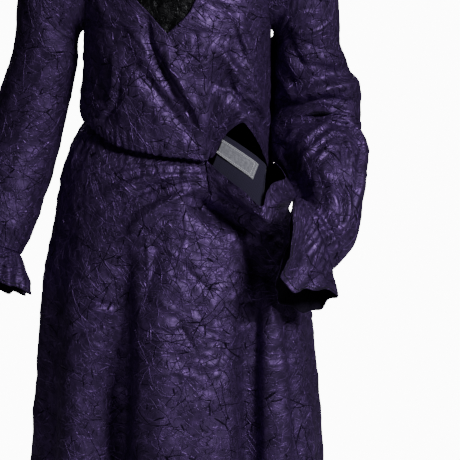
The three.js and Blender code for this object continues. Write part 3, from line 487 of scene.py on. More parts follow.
@dataclass
class Cloth:
    """A grid of points on a piece of cloth, with places on the flat cloth for each of them."""

    points: Array
    closed: bool = False
    split: int = -1  # the column after which the cloth is slit
    split_row: int = 0  # the row above which that slit is open
    u: Array = field(init=False)
    v: Array = field(init=False)
    ids: Array = field(init=False)

    def __post_init__(self) -> None:
        """Measures the cloth and joins the columns that are one line."""
        self.measure()
        rows, columns = self.points.shape[:2]
        self.ids = np.arange(rows * columns).reshape(rows, columns)
        if self.closed:
            self.ids[:, -1] = self.ids[:, 0]
        if self.split >= 0:
            self.ids[: self.split_row + 1, self.split + 1] = self.ids[: self.split_row + 1, self.split]

    def measure(self) -> None:
        """Measures each point's place across and along the cloth."""
        across = np.linalg.norm(np.diff(self.points, axis=1), axis=-1)
        along = np.linalg.norm(np.diff(self.points, axis=0), axis=-1)
        self.u = np.pad(np.cumsum(across, axis=1), ((0, 0), (1, 0)))
        middle = self.split if self.split >= 0 else self.points.shape[1] // 2
        self.u = self.u - self.u[:, middle : middle + 1]
        rise = np.concatenate([[0], np.cumsum(along.mean(axis=1))])
        self.v = np.broadcast_to(rise[:, None], self.u.shape)

    def quads(self) -> Array:
        """Gives each face as four (row, column) numbers of the unjoined grid."""
        rows, columns = self.points.shape[:2]
        plain = np.arange(rows * columns).reshape(rows, columns)
        keep = [j for j in range(columns - 1) if j != self.split]
        a, b = plain[:-1, keep], plain[:-1, [j + 1 for j in keep]]
        c, d = plain[1:, [j + 1 for j in keep]], plain[1:, keep]
        return np.stack([a, b, c, d], -1).reshape(-1, 4)

    def normals(self) -> Array:
        """Gives the outward direction at each point."""
        flat = self.points.reshape(-1, 3)
        quads = self.quads()
        corner = flat[quads]
        face = np.cross(corner[:, 2] - corner[:, 0], corner[:, 3] - corner[:, 1])
        total = np.zeros_like(flat)
        joined = self.ids.reshape(-1)[quads]
        for k in range(4):
            np.add.at(total, joined[:, k], face)
        return unit(total[self.ids.reshape(-1)]).reshape(self.points.shape)

    def lift(self, height: Array) -> None:
        """Moves each point outward by a height."""
        self.points = self.points + self.normals() * height[..., None]
        flat = self.points.reshape(-1, 3)
        self.points = flat[self.ids.reshape(-1)].reshape(self.points.shape)

    def edge_room(self, bottom: bool, top: bool, sides: bool) -> Array:
        """Gives each point's distance along the cloth from the sewn edges.

        Args:
            bottom: Whether the first row is sewn.
            top: Whether the last row is sewn.
            sides: Whether the first and last columns are sewn.

        Returns:
            The distances.
        """
        room = np.full(self.u.shape, 1e3)
        if bottom:
            room = np.minimum(room, self.v)
        if top:
            room = np.minimum(room, self.v[-1:] - self.v)
        if sides:
            room = np.minimum(room, np.minimum(self.u - self.u[:, :1], self.u[:, -1:] - self.u))
        return room

    def shell(
        self, name: str, thickness: Array | float, material: Material, inside: Material | None = None
    ) -> Piece:
        """Makes a closed thin wall on the cloth.

        Args:
            name: The piece's name.
            thickness: How thick it is, at each point or all over.
            material: Its finish.
            inside: The finish of its wrong side, where that is another one.

        Returns:
            The finished object, in metres.
        """
        normals = self.normals().reshape(-1, 3)
        half = np.broadcast_to(np.asarray(thickness, float) / 2, self.u.shape).reshape(-1, 1)
        flat = self.points.reshape(-1, 3)
        quads = self.quads()
        joined = self.ids.reshape(-1)[quads]
        used, compact = np.unique(joined, return_inverse=True)
        joined = compact.reshape(-1, 4)
        count = len(used)
        outer = (flat + normals * half)[used]
        inner = (flat - normals * half)[used]
        starts = joined.reshape(-1)
        ends = np.roll(joined, -1, axis=1).reshape(-1)
        uv_starts = quads.reshape(-1)
        uv_ends = np.roll(quads, -1, axis=1).reshape(-1)
        free = ~np.isin(starts.astype(np.int64) * count + ends, ends.astype(np.int64) * count + starts)
        a, b, ua, ub = starts[free], ends[free], uv_starts[free], uv_ends[free]
        rim = np.stack([a, a + count, b + count, b], -1)
        faces = np.concatenate([joined, joined[:, ::-1] + count, rim])
        places = np.concatenate([quads, quads[:, ::-1], np.stack([ua, ua, ub, ub], -1)])
        mesh = bpy.data.meshes.new(name)
        mesh.vertices.add(2 * count)
        mesh.vertices.foreach_set("co", (np.concatenate([outer, inner]) * MM).astype(np.float32).ravel())
        mesh.loops.add(faces.size)
        mesh.loops.foreach_set("vertex_index", faces.astype(np.int32).ravel())
        mesh.polygons.add(len(faces))
        mesh.polygons.foreach_set("loop_start", np.arange(0, faces.size, 4, dtype=np.int32))
        mesh.update(calc_edges=True)
        uv = np.stack([self.u, self.v], -1).reshape(-1, 2)[places.reshape(-1)] * MM
        mesh.uv_layers.new(name="cloth").data.foreach_set("uv", uv.astype(np.float32).ravel())
        mesh.polygons.foreach_set("use_smooth", np.ones(len(faces), bool))
        mesh.materials.append(material)
        if inside is not None:
            mesh.materials.append(inside)
            wrong = np.zeros(len(faces), np.int32)
            wrong[len(joined) : 2 * len(joined)] = 1
            mesh.polygons.foreach_set("material_index", wrong)
        mesh.validate()
        mesh.update()
        return add_object(name, mesh)


def oval(phi: Array, half: Array, front: Array, back: Array, square: Array, z: Array) -> tuple[Array, Array]:
    """Gives points of an upright oval ring and their level outward directions.

    Args:
        phi: Angles, 0 at the front and 90 at the wearer's left.
        half: Half width.
        front: Depth in front.
        back: Depth behind.
        square: How square the ring is.
        z: Height.

    Returns:
        The points and directions.
    """
    s, c = np.sin(np.radians(phi)), np.cos(np.radians(phi))
    depth = np.where(c >= 0, front, back)
    power = 2 / square
    x = half * np.sign(s) * np.abs(s) ** power
    y = -depth * np.sign(c) * np.abs(c) ** power
    out_x = np.sign(x) * np.abs(x / half) ** (square - 1) / half
    out_y = np.sign(y) * np.abs(y / depth) ** (square - 1) / depth
    return xyz(x, y, z), unit(xyz(out_x, out_y, 0))


def torso(phi: Array, z: Array) -> tuple[Array, Array]:
    """Gives points of the dress's torso and their level outward directions."""
    return oval(phi, *(read(TORSO, "z", name, z) for name in ("half", "front", "back", "square")), z)


def phi_at(x: Array, z: Array) -> Array:
    """Gives the angle at which the torso has an x at a height."""
    share = np.clip(np.abs(x) / read(TORSO, "z", "half", z), 0, 1)
    return np.sign(x) * np.degrees(np.arcsin(share ** (read(TORSO, "z", "square", z) / 2)))


def waist_z(phi: Array) -> Array:
    """Gives the height of the waist seam."""
    return read(WAIST, "phi", "z", phi)


def open_at(phi: Array) -> Array:
    """Gives 1 in the waist opening, 0 where the seam is sewn."""
    opens = ramp(phi, OPENING_START - 3, OPENING_START + 3)
    return opens * (1 - ramp(phi, OPENING_END - 4, OPENING_END + 1))


def bodice(phi: Array, level: Array) -> Array:
    """Gives points of the bodice: level 0 is the waist seam, 1 the underarm and 2 the neck points."""
    phi, level = np.broadcast_arrays(phi, level)
    share = np.minimum(level, 1)
    seam = waist_z(phi)
    sewn_rise = read(BLOUSE, "share", "rise", share) / BLOUSE_HEIGHT * (UNDERARM_Z - seam)
    arch_z = read(ARCH, "phi", "z", phi)
    opening = open_at(phi)
    low = mix(seam + sewn_rise, arch_z + share * (UNDERARM_Z - arch_z), opening)
    arch_out = read(ARCH, "phi", "out", phi) * (1 - ramp(share, 0, 0.75)) + 2 * share * (1 - share)
    bulge = mix(read(BLOUSE, "share", "out", share), arch_out, opening)
    z = np.where(level <= 1, low, mix(UNDERARM_Z, NECK_POINT_Z, level - 1))
    at, out = torso(phi, np.maximum(z, -450))
    at[..., 2] = z
    calm = np.where(np.abs(phi) < 90, ramp(share, 0.1, 0.3) * (1 - ramp(np.abs(phi), 72, 88)), 0)
    puff = np.exp(-(((np.abs(phi) - PUFF_PHI) / PUFF_SPREAD) ** 2)) * ramp(np.abs(phi), 90, 98)
    bulge = bulge + puff * read(PUFF, "share", "out", share)
    return at + out * (bulge + calm * fold_height(BODICE_FOLDS, at[..., 0], z))[..., None]


def level_at(z: Array | float) -> Array | float:
    """Gives the bodice's level at a height above the underarm."""
    return 1 + (z - UNDERARM_Z) / (NECK_POINT_Z - UNDERARM_Z)


def armhole_level(share: Array) -> Array:
    """Gives the bodice's level by the share of the way up the armhole."""
    return mix(1, level_at(SHOULDER_TIP_Z), share)


def outer_phi(z: Array) -> Array:
    """Gives the angle of a bodice panel's outer edge: side seam, armhole, shoulder seam."""
    above = ramp(z, UNDERARM_Z, UNDERARM_Z + 12)
    below = 1 - ramp(z, SHOULDER_TIP_Z - 8, SHOULDER_TIP_Z)
    return mix(phi_at(read(ARMHOLE, "z", "x", z), z), 90.0, 1 - above * below)


def skirt(phi: Array, share: Array) -> Array:
    """Gives points of the skirt: share 0 is the waist seam and 1 the hem."""
    phi, share = np.broadcast_arrays(phi, share)
    seam = waist_z(phi)
    drop = share * SKIRT_LENGTH
    fall = share * (seam - HEM_Z)
    waist, out = torso(phi, seam)
    ahead = np.abs(phi) <= 90
    end = np.where(ahead, read(SKIRT_FLARE, "drop", "front", drop), read(SKIRT_FLARE, "drop", "back", drop))
    flare = mix(end, read(SKIRT_FLARE, "drop", "side", drop), np.sin(np.radians(phi)) ** 2)
    growth = ramp(drop, 60, 480) * (0.8 + 0.2 * drop / SKIRT_LENGTH)
    flute = np.zeros(phi.shape)
    for centre, width, depth in zip(FLUTES["phi"], FLUTES["width"], FLUTES["depth"]):
        flute += depth * growth * np.exp(-((away_from(phi, centre) / width) ** 2))
    points = waist + out * (flare + flute)[..., None]
    points[..., 2] = seam - fall
    pulled = (phi > OPENING_START) & (phi < 90)
    left = np.where(pulled, read(PULL_FADE, "drop", "left", fall), 0)
    waist[..., 2] = seam
    points = points + (read_point(PULLED_EDGE, "phi", phi) - waist) * left[..., None]
    calm = np.where(ahead, ramp(fall, 16, 40) * (1 - ramp(np.abs(phi), 75, 89)), 0)
    return points + out * (calm * fold_height(SKIRT_FOLDS, points[..., 0], points[..., 2]))[..., None]


def ring(centre: Array, a: Array, b: Array, halves: tuple[float, ...], turn: float = 0) -> Ring:
    """Makes a ring on two half axes for each direction.

    Args:
        centre: Its middle.
        a: The way outward.
        b: The way forward.
        halves: Its half widths outward, inward, forward and back.
        turn: An angle that it is turned by.

    Returns:
        The ring, as points by angle.
    """
    out, inward, front, back = halves

    def at(psi: Array) -> Array:
        """Gives the ring's points at angles."""
        c, s = np.cos(np.radians(psi + turn)), np.sin(np.radians(psi + turn))
        aside = np.outer(c * np.where(c > 0, out, inward), a)
        return centre + aside + np.outer(s * np.where(s > 0, front, back), b)

    return at


def sleeve_ring(row: dict[str, float], mirror: int, grow: float = 0, forward: float = 0) -> Ring:
    """Makes a ring square to the way a sleeve runs.

    Args:
        row: The station's numbers.
        mirror: 1 for the left arm and -1 for the right.
        grow: How much wider the ring is.
        forward: How far it is moved along the sleeve.

    Returns:
        The ring.
    """
    x, y, z = (row[axis] + forward * row["d" + axis] for axis in AXES)
    centre = np.array([mirror * x, y, z])
    run = unit(np.array([mirror * row["dx"], row["dy"], row["dz"]]))
    outward = np.array([mirror, 0.0, 0.0])
    a = unit(outward - run * run[0] * mirror)
    b = np.cross(run, a) * mirror
    return ring(centre, a, b, tuple(row[name] + grow for name in ("out", "in_", "front", "back")))


def cap_ring(row: dict[str, float], mirror: int) -> Ring:
    """Makes an upright ring of a sleeve's cap between its lowest and highest points."""
    low = np.array([mirror * row["in_x"], 0, row["in_z"]])
    high = np.array([mirror * row["out_x"], 0, row["out_z"]])
    half = (high - low) / 2
    length = float(np.linalg.norm(half))
    return ring(low + half, unit(half), np.array([0, -1.0, 0]), (length, length, row["front"], row["back"]))


def rows_of(source: Table) -> list[dict[str, float]]:
    """Gives a table's rows, each by column name."""
    count = len(next(iter(source.values())))
    return [{name: float(column[i]) for name, column in source.items()} for i in range(count)]


def armhole_line(psi: Array, mirror: int) -> tuple[Array, Array]:
    """Gives the armhole's points by angle, and the way out midway between bodice and sleeve."""
    share = (1 + np.cos(np.radians(psi))) / 2
    level = armhole_level(share)
    angle = outer_phi(mix(UNDERARM_Z, SHOULDER_TIP_Z, share))
    phi = mirror * np.where(np.sin(np.radians(psi)) < -1e-9, 180 - angle, angle)
    out = normal_of(bodice, phi, level, 0.4, 0.004)
    radial = xyz(0, -np.sin(np.radians(psi)), np.cos(np.radians(psi)))
    return bodice(phi, level), unit(out + radial)


def armhole_ring(mirror: int) -> Ring:
    """Makes a sleeve's sewn ring, one gap beyond the edge of the bodice."""

    def at(psi: Array) -> Array:
        """Gives the ring's points at angles."""
        here, out = armhole_line(psi, mirror)
        along = armhole_line(psi + 1.5, mirror)[0] - armhole_line(psi - 1.5, mirror)[0]
        return here + unit(np.cross(out, along) * mirror) * SEAM_GAP

    return at


def left_wrist(psi: Array, forward: float = 0) -> Array:
    """Gives the left wrist's elastic ring, moved along the sleeve."""
    halves = (WRIST_HALF_LONG, WRIST_HALF_LONG, WRIST_HALF_SHORT, WRIST_HALF_SHORT)
    return ring(WRIST + WRIST_FACE * forward, WRIST_LONG, WRIST_NEAR, halves, WRIST_TURN)(psi)


def right_wrist(grow: float, forward: float) -> Ring:
    """Makes the right wrist's ring, grown and moved along the sleeve."""
    return sleeve_ring(rows_of(RIGHT_WRIST)[0], -1, grow, forward)


def loft(stations: list[Ring], psi: Array, shares: Array) -> Array:
    """Makes a grid of points on a tube through rings.

    Args:
        stations: The rings in order.
        psi: The columns' angles.
        shares: The rows' places, from 0 at the first ring to 1 at the last.

    Returns:
        The points, by row and column.
    """
    rings = np.stack([station(psi) for station in stations])
    last = len(stations) - 1
    rows = []
    for share in shares:
        i = min(int(share * last), last - 1)
        t = share * last - i
        p0, p1, p2, p3 = (rings[min(max(k, 0), last)] for k in (i - 1, i, i + 1, i + 2))
        start = (p2 - p0) * (1 if i == 0 else 0.5)
        end = (p3 - p1) * (1 if i + 1 == last else 0.5)
        point = p1 * (2 * t**3 - 3 * t**2 + 1) + p2 * (3 * t**2 - 2 * t**3)
        rows.append(point + start * (t**3 - 2 * t**2 + t) + end * (t**3 - t**2))
    return np.stack(rows)


class Tree:
    """A short way to write a material's nodes."""

    def __init__(self, name: str) -> None:
        """Starts a material with a shader and an output."""
        self.material = bpy.data.materials.new(name)
        self.material.use_nodes = True
        self.nodes = self.material.node_tree.nodes
        self.links = self.material.node_tree.links
        self.shader = self.nodes["Principled BSDF"]

    def add(
        self, kind: str, inputs: dict[str | int, object] | None = None, **settings: object
    ) -> bpy.types.Node:
        """Adds a node.

        Args:
            kind: The node's type after ShaderNode.
            inputs: Values or sockets by input name or number.
            settings: The node's own options.

        Returns:
            The node.
        """
        node = self.nodes.new("ShaderNode" + kind)
        for key, value in settings.items():
            setattr(node, key, value)
        for key, value in (inputs or {}).items():
            self.put(node.inputs[key], value)
        return node

    def put(self, socket: Socket, value: object) -> None:
        """Sets an input, or links it when the value is a socket."""
        if isinstance(value, Socket):
            self.links.new(value, socket)
        else:
            socket.default_value = value

    def maths(self, operation: str, *values: object) -> Socket:
        """Adds a maths node and gives its result."""
        return self.add("Math", dict(enumerate(values)), operation=operation).outputs[0]

    def vectors(self, operation: str, *values: object) -> Socket:
        """Adds a vector maths node and gives its result."""
        return self.add("VectorMath", dict(enumerate(values)), operation=operation).outputs[0]

    def blend(self, share: object, first: Socket | tuple[float, ...], second: tuple[float, ...]) -> Socket:
        """Mixes a colour or a socket with a second colour by a share."""
        start = (*first, 1) if isinstance(first, tuple) else first
        return self.add("Mix", {0: share, 6: start, 7: (*second, 1)}, data_type="RGBA").outputs[2]

    def spread(self, value: object, low: float, high: float, start: float = 0, end: float = 1) -> Socket:
        """Maps a value from one range smoothly to another."""
        inputs = dict(enumerate((value, low, high, start, end)))
        return self.add("MapRange", inputs, interpolation_type="SMOOTHSTEP").outputs[0]

    def noise(
        self, place: Socket, cells: float, detail: float, result: str | int = 0, roughness: float = 0.5
    ) -> Socket:
        """Adds a cloudy texture.

        Args:
            place: The place on the cloth.
            cells: How many clouds there are in a metre.
            detail: How many finer layers it has.
            result: Which of its outputs is used.
            roughness: How strong the finer layers are.

        Returns:
            The output.
        """
        inputs = {"Vector": place, "Scale": cells, "Detail": detail, "Roughness": roughness}
        return self.add("TexNoise", inputs).outputs[result]

    def finish(self, values: dict[str, object]) -> Material:
        """Sets or links the shader's inputs and gives the material."""
        for name, value in values.items():
            self.put(self.shader.inputs[name], value)
        return self.material


class Sheen(Enum):
    """How much sheen the yarns of a cloth have."""

    DULL = 0.0
    MATT = 0.15
    FUZZY = 0.5


@dataclass(frozen=True)
class Network:
    """One network of straight pressed lines: cells for each metre, turn, stretch, depth and half width."""

    cells: float
    turn: float
    stretch: float
    depth: float
    reach: float


NETWORKS = (
    Network(27.0, 0.35, 2.1, 1.0, 0.04),
    Network(33.0, 1.45, 2.1, 1.0, 0.045),
    Network(40.0, 2.5, 2.0, 0.9, 0.05),
    Network(62.0, 0.9, 1.8, 0.6, 0.07),
    Network(84.0, 2.0, 1.6, 0.5, 0.085),
    Network(135.0, 3.0, 1.4, 0.3, 0.12),
)


@dataclass(frozen=True)
class CrushedSatin:
    """Glossy satin with straight pressed creases and flat facets between them; its colour has painted shade
    in the creases and painted highlights on their raised lines.
    """

    name: str
    shade: tuple[float, float, float]
    light: tuple[float, float, float]
    roughness: float = 0.48
    metallic: float = 0.75
    relief: float = 1.0
    facet_cells: tuple[float, ...] = (42.0, 95.0)
    facet_slope: float = 42.0 * 2.2 * 0.35
    sway_cells: float = 26.0
    sway: float = 0.012
    yarn_cells: float = 900.0
    yarn_height: float = 0.08
    bump: float = 0.0011
    cloud_cells: float = 55.0
    worn_cells: float = 120.0

    def lines(self, tree: Tree, place: object, network: Network) -> tuple[object, object]:
        """Adds a network's lines, broken off in places, some raised and some sunk.

        Args:
            tree: The material's nodes.
            place: The place on the cloth.
            network: The network.

        Returns:
            The lines' height, and how much of a line is at each place.
        """
        scale = (1 / network.stretch, network.stretch, 1)
        turn = {"Vector": place, "Rotation": (0, 0, network.turn), "Scale": scale}
        turned = tree.add("Mapping", turn, vector_type="TEXTURE").outputs[0]
        cells = tree.add(
            "TexVoronoi", {"Vector": turned, "Scale": network.cells},
            voronoi_dimensions="2D", feature="DISTANCE_TO_EDGE",
        )
        line = tree.spread(cells.outputs["Distance"], 0.0, network.reach, 1.0, 0.0)
        apart = tree.add("SeparateColor", {0: tree.noise(turned, network.cells * 0.6, 1.0, "Color")}).outputs
        line = tree.maths("MULTIPLY", line, tree.spread(apart[0], 0.47, 0.55))
        way = tree.spread(apart[1], 0.42, 0.54, -network.depth, network.depth)
        return tree.maths("MULTIPLY", line, way), line

    def facets(self, tree: Tree, place: object, cells: float) -> object:
        """Adds small flat facets, each tilted its own way."""
        tilt = tree.add("TexVoronoi", {"Vector": place, "Scale": cells}, voronoi_dimensions="2D").outputs
        random = tree.vectors("SUBTRACT", tilt["Color"], (0.5, 0.5, 0.5))
        inside = tree.vectors("SUBTRACT", place, tilt["Position"])
        slope = tree.add("VectorMath", {0: inside, 1: random}, operation="DOT_PRODUCT").outputs["Value"]
        return tree.maths("MULTIPLY", slope, self.facet_slope)

    def material(self) -> Material:
        """Builds the finish."""
        tree = Tree(self.name)
        place = tree.add("UVMap", uv_map="cloth").outputs[0]
        sway = tree.vectors("SUBTRACT", tree.noise(place, self.sway_cells, 2.0, "Color"), (0.5, 0.5, 0.5))
        shift = tree.add("VectorMath", {0: sway, "Scale": self.sway}, operation="SCALE").outputs[0]
        warped = tree.vectors("ADD", place, shift)
        height: object = 0.0
        # pressed sums up painted shade: how near black the colour is painted along the crease lines.
        pressed: object = 0.0
        # raised sums up painted highlight: how much lighter the colour is painted on the raised lines.
        raised: object = 0.0
        for network in NETWORKS:
            rise, line = self.lines(tree, warped, network)
            height = tree.maths("ADD", height, rise)
            pressed = tree.maths("MAXIMUM", pressed, tree.maths("MULTIPLY", rise, -1.0))
            pressed = tree.maths("MAXIMUM", pressed, tree.maths("MULTIPLY", line, 0.4 * network.depth))
            raised = tree.maths("MAXIMUM", raised, rise)
        for cells in self.facet_cells:
            height = tree.maths("ADD", height, self.facets(tree, warped, cells))
        yarns = tree.maths("MULTIPLY", tree.noise(place, self.yarn_cells, 2.0), self.yarn_height)
        relief = {"Height": tree.maths("ADD", height, yarns), "Distance": self.bump, "Strength": self.relief}
        cloudy = tree.noise(warped, self.cloud_cells, 4.0, roughness=0.65)
        plain = tree.blend(tree.spread(cloudy, 0.38, 0.8), self.shade, self.light)
        # Painted highlight: the raised lines get a lighter colour.
        painted_highlight_colour = tree.blend(tree.maths("MULTIPLY", raised, 0.85), plain, tuple(2.0 * c for c in self.light))
        # Painted shade: the colour goes near black in the creases.
        depth = tree.spread(pressed, 0.0, 0.75, 0.0, 0.85)
        worn = tree.noise(warped, self.worn_cells, 3.0)
        return tree.finish({
            "Normal": tree.add("Bump", relief).outputs[0],
            "Base Color": tree.blend(depth, painted_highlight_colour, tuple(0.06 * c for c in self.shade)),
            "Roughness": tree.spread(worn, 0.3, 0.7, self.roughness - 0.05, self.roughness + 0.1),
            "Metallic": self.metallic,
            "Specular IOR Level": 0.2,
            "Sheen Weight": 0.04,
            "Sheen Tint": (*(min(4 * c, 1) for c in self.light), 1),
        })


@dataclass(frozen=True)
class PlainCloth:
    """Woven cloth, tape or thread with a matt or fuzzy face."""

    name: str
    shade: tuple[float, float, float]
    light: tuple[float, float, float]
    sheen: Sheen = Sheen.MATT
    pitch: float = 0.0006
    roughness: float = 0.85
    bump: float = 0.0004

    def material(self) -> Material:
        """Builds the finish."""
        tree = Tree(self.name)
        place = tree.add("UVMap", uv_map="cloth").outputs[0]
        scale = 1 / self.pitch
        if self.sheen is Sheen.FUZZY:
            tufts = tree.add("TexVoronoi", {"Vector": place, "Scale": scale * 0.5}).outputs["Distance"]
            height = tree.maths("SUBTRACT", tree.noise(place, scale * 0.35, 3.0), tufts)
        else:
            waves = {"Vector": place, "Scale": scale / 20, "Distortion": 0.6}
            warp, weft = (tree.add("TexWave", waves, bands_direction=axis).outputs[1] for axis in "XY")
            height = tree.maths("MULTIPLY", warp, weft)
        relief = {"Height": height, "Distance": self.bump, "Strength": 0.7}
        cloudy = tree.noise(place, scale * 0.25, 5.0)
        return tree.finish({
            "Normal": tree.add("Bump", relief).outputs[0],
            "Base Color": tree.blend(tree.spread(cloudy, 0.35, 0.65), self.shade, self.light),
            "Roughness": tree.spread(cloudy, 0.3, 0.7, self.roughness - 0.08, self.roughness + 0.05),
            "Sheen Weight": self.sheen.value,
            "Specular IOR Level": 0.1 if self.sheen is Sheen.DULL else 0.4,
        })


def declare(piece: Piece, node: str) -> None:
    """Rides a piece on the dress, in place of its solid."""
    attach(piece, BODY)
    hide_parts(node)
    log.info("%s: %d faces", piece.name, len(piece.data.polygons))


@dataclass
class Stitching:
    """Rows of straight stitches, laid along a line by geometry nodes."""

    step: float = 3.4
    length: float = 2.4
    thick: float = 0.7
    tree: bpy.types.NodeTree = field(init=False)

    def __post_init__(self) -> None:
        """Builds the tree that lays stitches along a line."""
        self.tree = bpy.data.node_groups.new("stitch_row", "GeometryNodeTree")
        face = self.tree.interface
        for name in ("Geometry", "Step", "Length", "Thick", "Thread"):
            kind = {"Geometry": "Geometry", "Thread": "Material"}.get(name, "Float")
            face.new_socket(name, in_out="INPUT", socket_type="NodeSocket" + kind)
        face.new_socket("Geometry", in_out="OUTPUT", socket_type="NodeSocketGeometry")
        nodes, links = self.tree.nodes, self.tree.links
        start, end = nodes.new("NodeGroupInput"), nodes.new("NodeGroupOutput")
        curve = nodes.new("GeometryNodeMeshToCurve")
        points = nodes.new("GeometryNodeResampleCurve")
        if hasattr(points, "mode"):
            points.mode = "LENGTH"
        else:
            points.inputs["Mode"].default_value = "Length"
        stitch = nodes.new("GeometryNodeMeshCylinder")
        stitch.inputs["Vertices"].default_value = 6
        placed = nodes.new("GeometryNodeInstanceOnPoints")
        tangent = nodes.new("GeometryNodeInputTangent")
        align = nodes.new("FunctionNodeAlignRotationToVector")
        align.axis = "Z"
        real = nodes.new("GeometryNodeRealizeInstances")
        paint = nodes.new("GeometryNodeSetMaterial")
        links.new(start.outputs["Geometry"], curve.inputs[0])
        links.new(curve.outputs[0], points.inputs[0])
        links.new(start.outputs["Step"], points.inputs["Length"])
        links.new(start.outputs["Thick"], stitch.inputs["Radius"])
        links.new(start.outputs["Length"], stitch.inputs["Depth"])
        links.new(points.outputs[0], placed.inputs["Points"])
        links.new(stitch.outputs["Mesh"], placed.inputs["Instance"])
        links.new(tangent.outputs[0], align.inputs["Vector"])
        links.new(align.outputs[0], placed.inputs["Rotation"])
        links.new(placed.outputs[0], real.inputs[0])
        links.new(real.outputs[0], paint.inputs[0])
        links.new(start.outputs["Thread"], paint.inputs["Material"])
        links.new(paint.outputs[0], end.inputs[0])

    def sew(self, name: str, lines: list[Array], thread: Material) -> None:
        """Sews stitches along lines.

        Args:
            name: The piece's name.
            lines: The lines' points.
            thread: The thread's finish.
        """
        points = np.concatenate(lines) * MM
        edges, first = [], 0
        for line in lines:
            edges += [(first + k, first + k + 1) for k in range(len(line) - 1)]
            first += len(line)
        mesh = bpy.data.meshes.new(name + "_line")
        mesh.from_pydata(points.tolist(), edges, [])
        path = add_object(name + "_line", mesh)
        modifier = path.modifiers.new("stitches", "NODES")
        modifier.node_group = self.tree
        sizes = {"Step": self.step, "Length": self.length, "Thick": self.thick}
        values = {"Thread": thread, **{key: size * MM for key, size in sizes.items()}}
        for item in self.tree.interface.items_tree:
            if item.in_out == "INPUT" and item.name in values:
                modifier[item.identifier] = values[item.name]
        seen = path.evaluated_get(bpy.context.evaluated_depsgraph_get())
        result = bpy.data.meshes.new_from_object(seen)
        result.name = name
        bpy.data.objects.remove(path)
        if not result.materials:
            result.materials.append(thread)
        piece = add_object(name, result)
        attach(piece, BODY)
        log.info("%s: %d faces", name, len(result.polygons))


BODICE_CREASES = creases(
    (4.0, 3.2, 225, 142, 231, 127, 238, 119, 246, 116, 254, 122, 262, 137, 268, 154),
    (-3.5, 3.2, 221, 134, 228, 117, 243, 107, 257, 113, 266, 128, 272, 146),
    (2.6, 2.0, 238, 104, 247, 96, 258, 103, 266, 116),
    (-5.5, 2.6, 148, 17, 150, 43, 157, 58, 165, 73, 175, 91, 185, 104, 194, 121, 203, 136),
    (2.4, 2.2, 153, 22, 156, 44, 164, 57, 173, 75, 184, 94, 192, 106, 201, 124),
    (-4.2, 3.4, 139, 66, 146, 73, 150, 83, 161, 97, 173, 111, 187, 130, 198, 144),
    (2.4, 2.4, 152, 66, 158, 82, 168, 96, 180, 112, 192, 128),
    (-2.6, 1.6, 119, 24, 133, 39, 142, 51, 146, 60),
    (-3.4, 2.4, 233, 22, 237, 38, 243, 52, 250, 68),
    (3.0, 2.6, 238, 24, 243, 38, 249, 52, 255, 68),
    (-2.8, 2.2, 246, 34, 251, 50, 258, 72, 264, 92),
    (3.4, 2.6, 218, 46, 227, 60, 239, 76, 247, 86),
    (-4.8, 3.0, 224, 72, 232, 88, 242, 100, 251, 113, 259, 126, 266, 144),
    (3.4, 2.2, 231, 80, 240, 93, 250, 105, 259, 118, 267, 134),
    (1.7, 0.9, 175, 57, 187, 54, 199, 54.4, 222, 57),
    (1.4, 0.8, 184.5, 67, 184.5, 104),
    (1.3, 0.8, 135, 62, 139, 104, 142, 146),
    (1.2, 0.8, 155, 103, 157, 146),
    (-2.6, 2.2, 108, 60, 107, 83, 103, 99),
    (2.4, 1.8, 113, 58, 113, 84, 107, 102),
    (-2.4, 2.0, 120, 70, 119, 96, 110, 112),
    (2.0, 1.4, 214, 78, 222, 81, 230, 85.5),
    (2.2, 1.5, 217, 95, 228, 94, 236, 98, 246, 108),
    (-2.2, 1.6, 212, 84, 222, 88, 229, 92),
    (1.8, 1.0, 187, 68, 196, 66, 207, 62, 218, 48),
    (-2.0, 1.6, 187, 62, 196, 56, 206, 58),
    (1.6, 0.9, 146, 84, 150, 92, 158, 94),
    (-2.0, 1.5, 199, 95, 203, 110, 203, 124),
    (1.8, 1.0, 196, 104, 198, 118, 202, 132),
    (2.2, 1.3, 86, 110, 94, 104, 104, 101),
    (-2.6, 2.0, 120, 101, 108, 114, 103, 124),
    (2.0, 1.2, 96, 118, 104, 112, 118, 104),
    (1.5, 0.9, 99, 28, 108, 24, 118, 24, 124, 30),
    (-1.8, 1.3, 192, 26, 196, 40, 196, 56),
    (1.5, 0.9, 204, 52, 212, 44, 222, 36),
    (1.6, 0.9, 264, 26, 258, 36, 262, 52, 268, 60),
)
SKIRT_STEPS = (
    Crease(19.0, 26.0, (128, 236, 131, 268, 133, 330, 134, 400, 134, 520), recover=56.0),
    Crease(12.0, 13.0, (247, 232, 256, 262, 260, 300, 262, 350, 263, 400, 264, 520), recover=20.0),
)
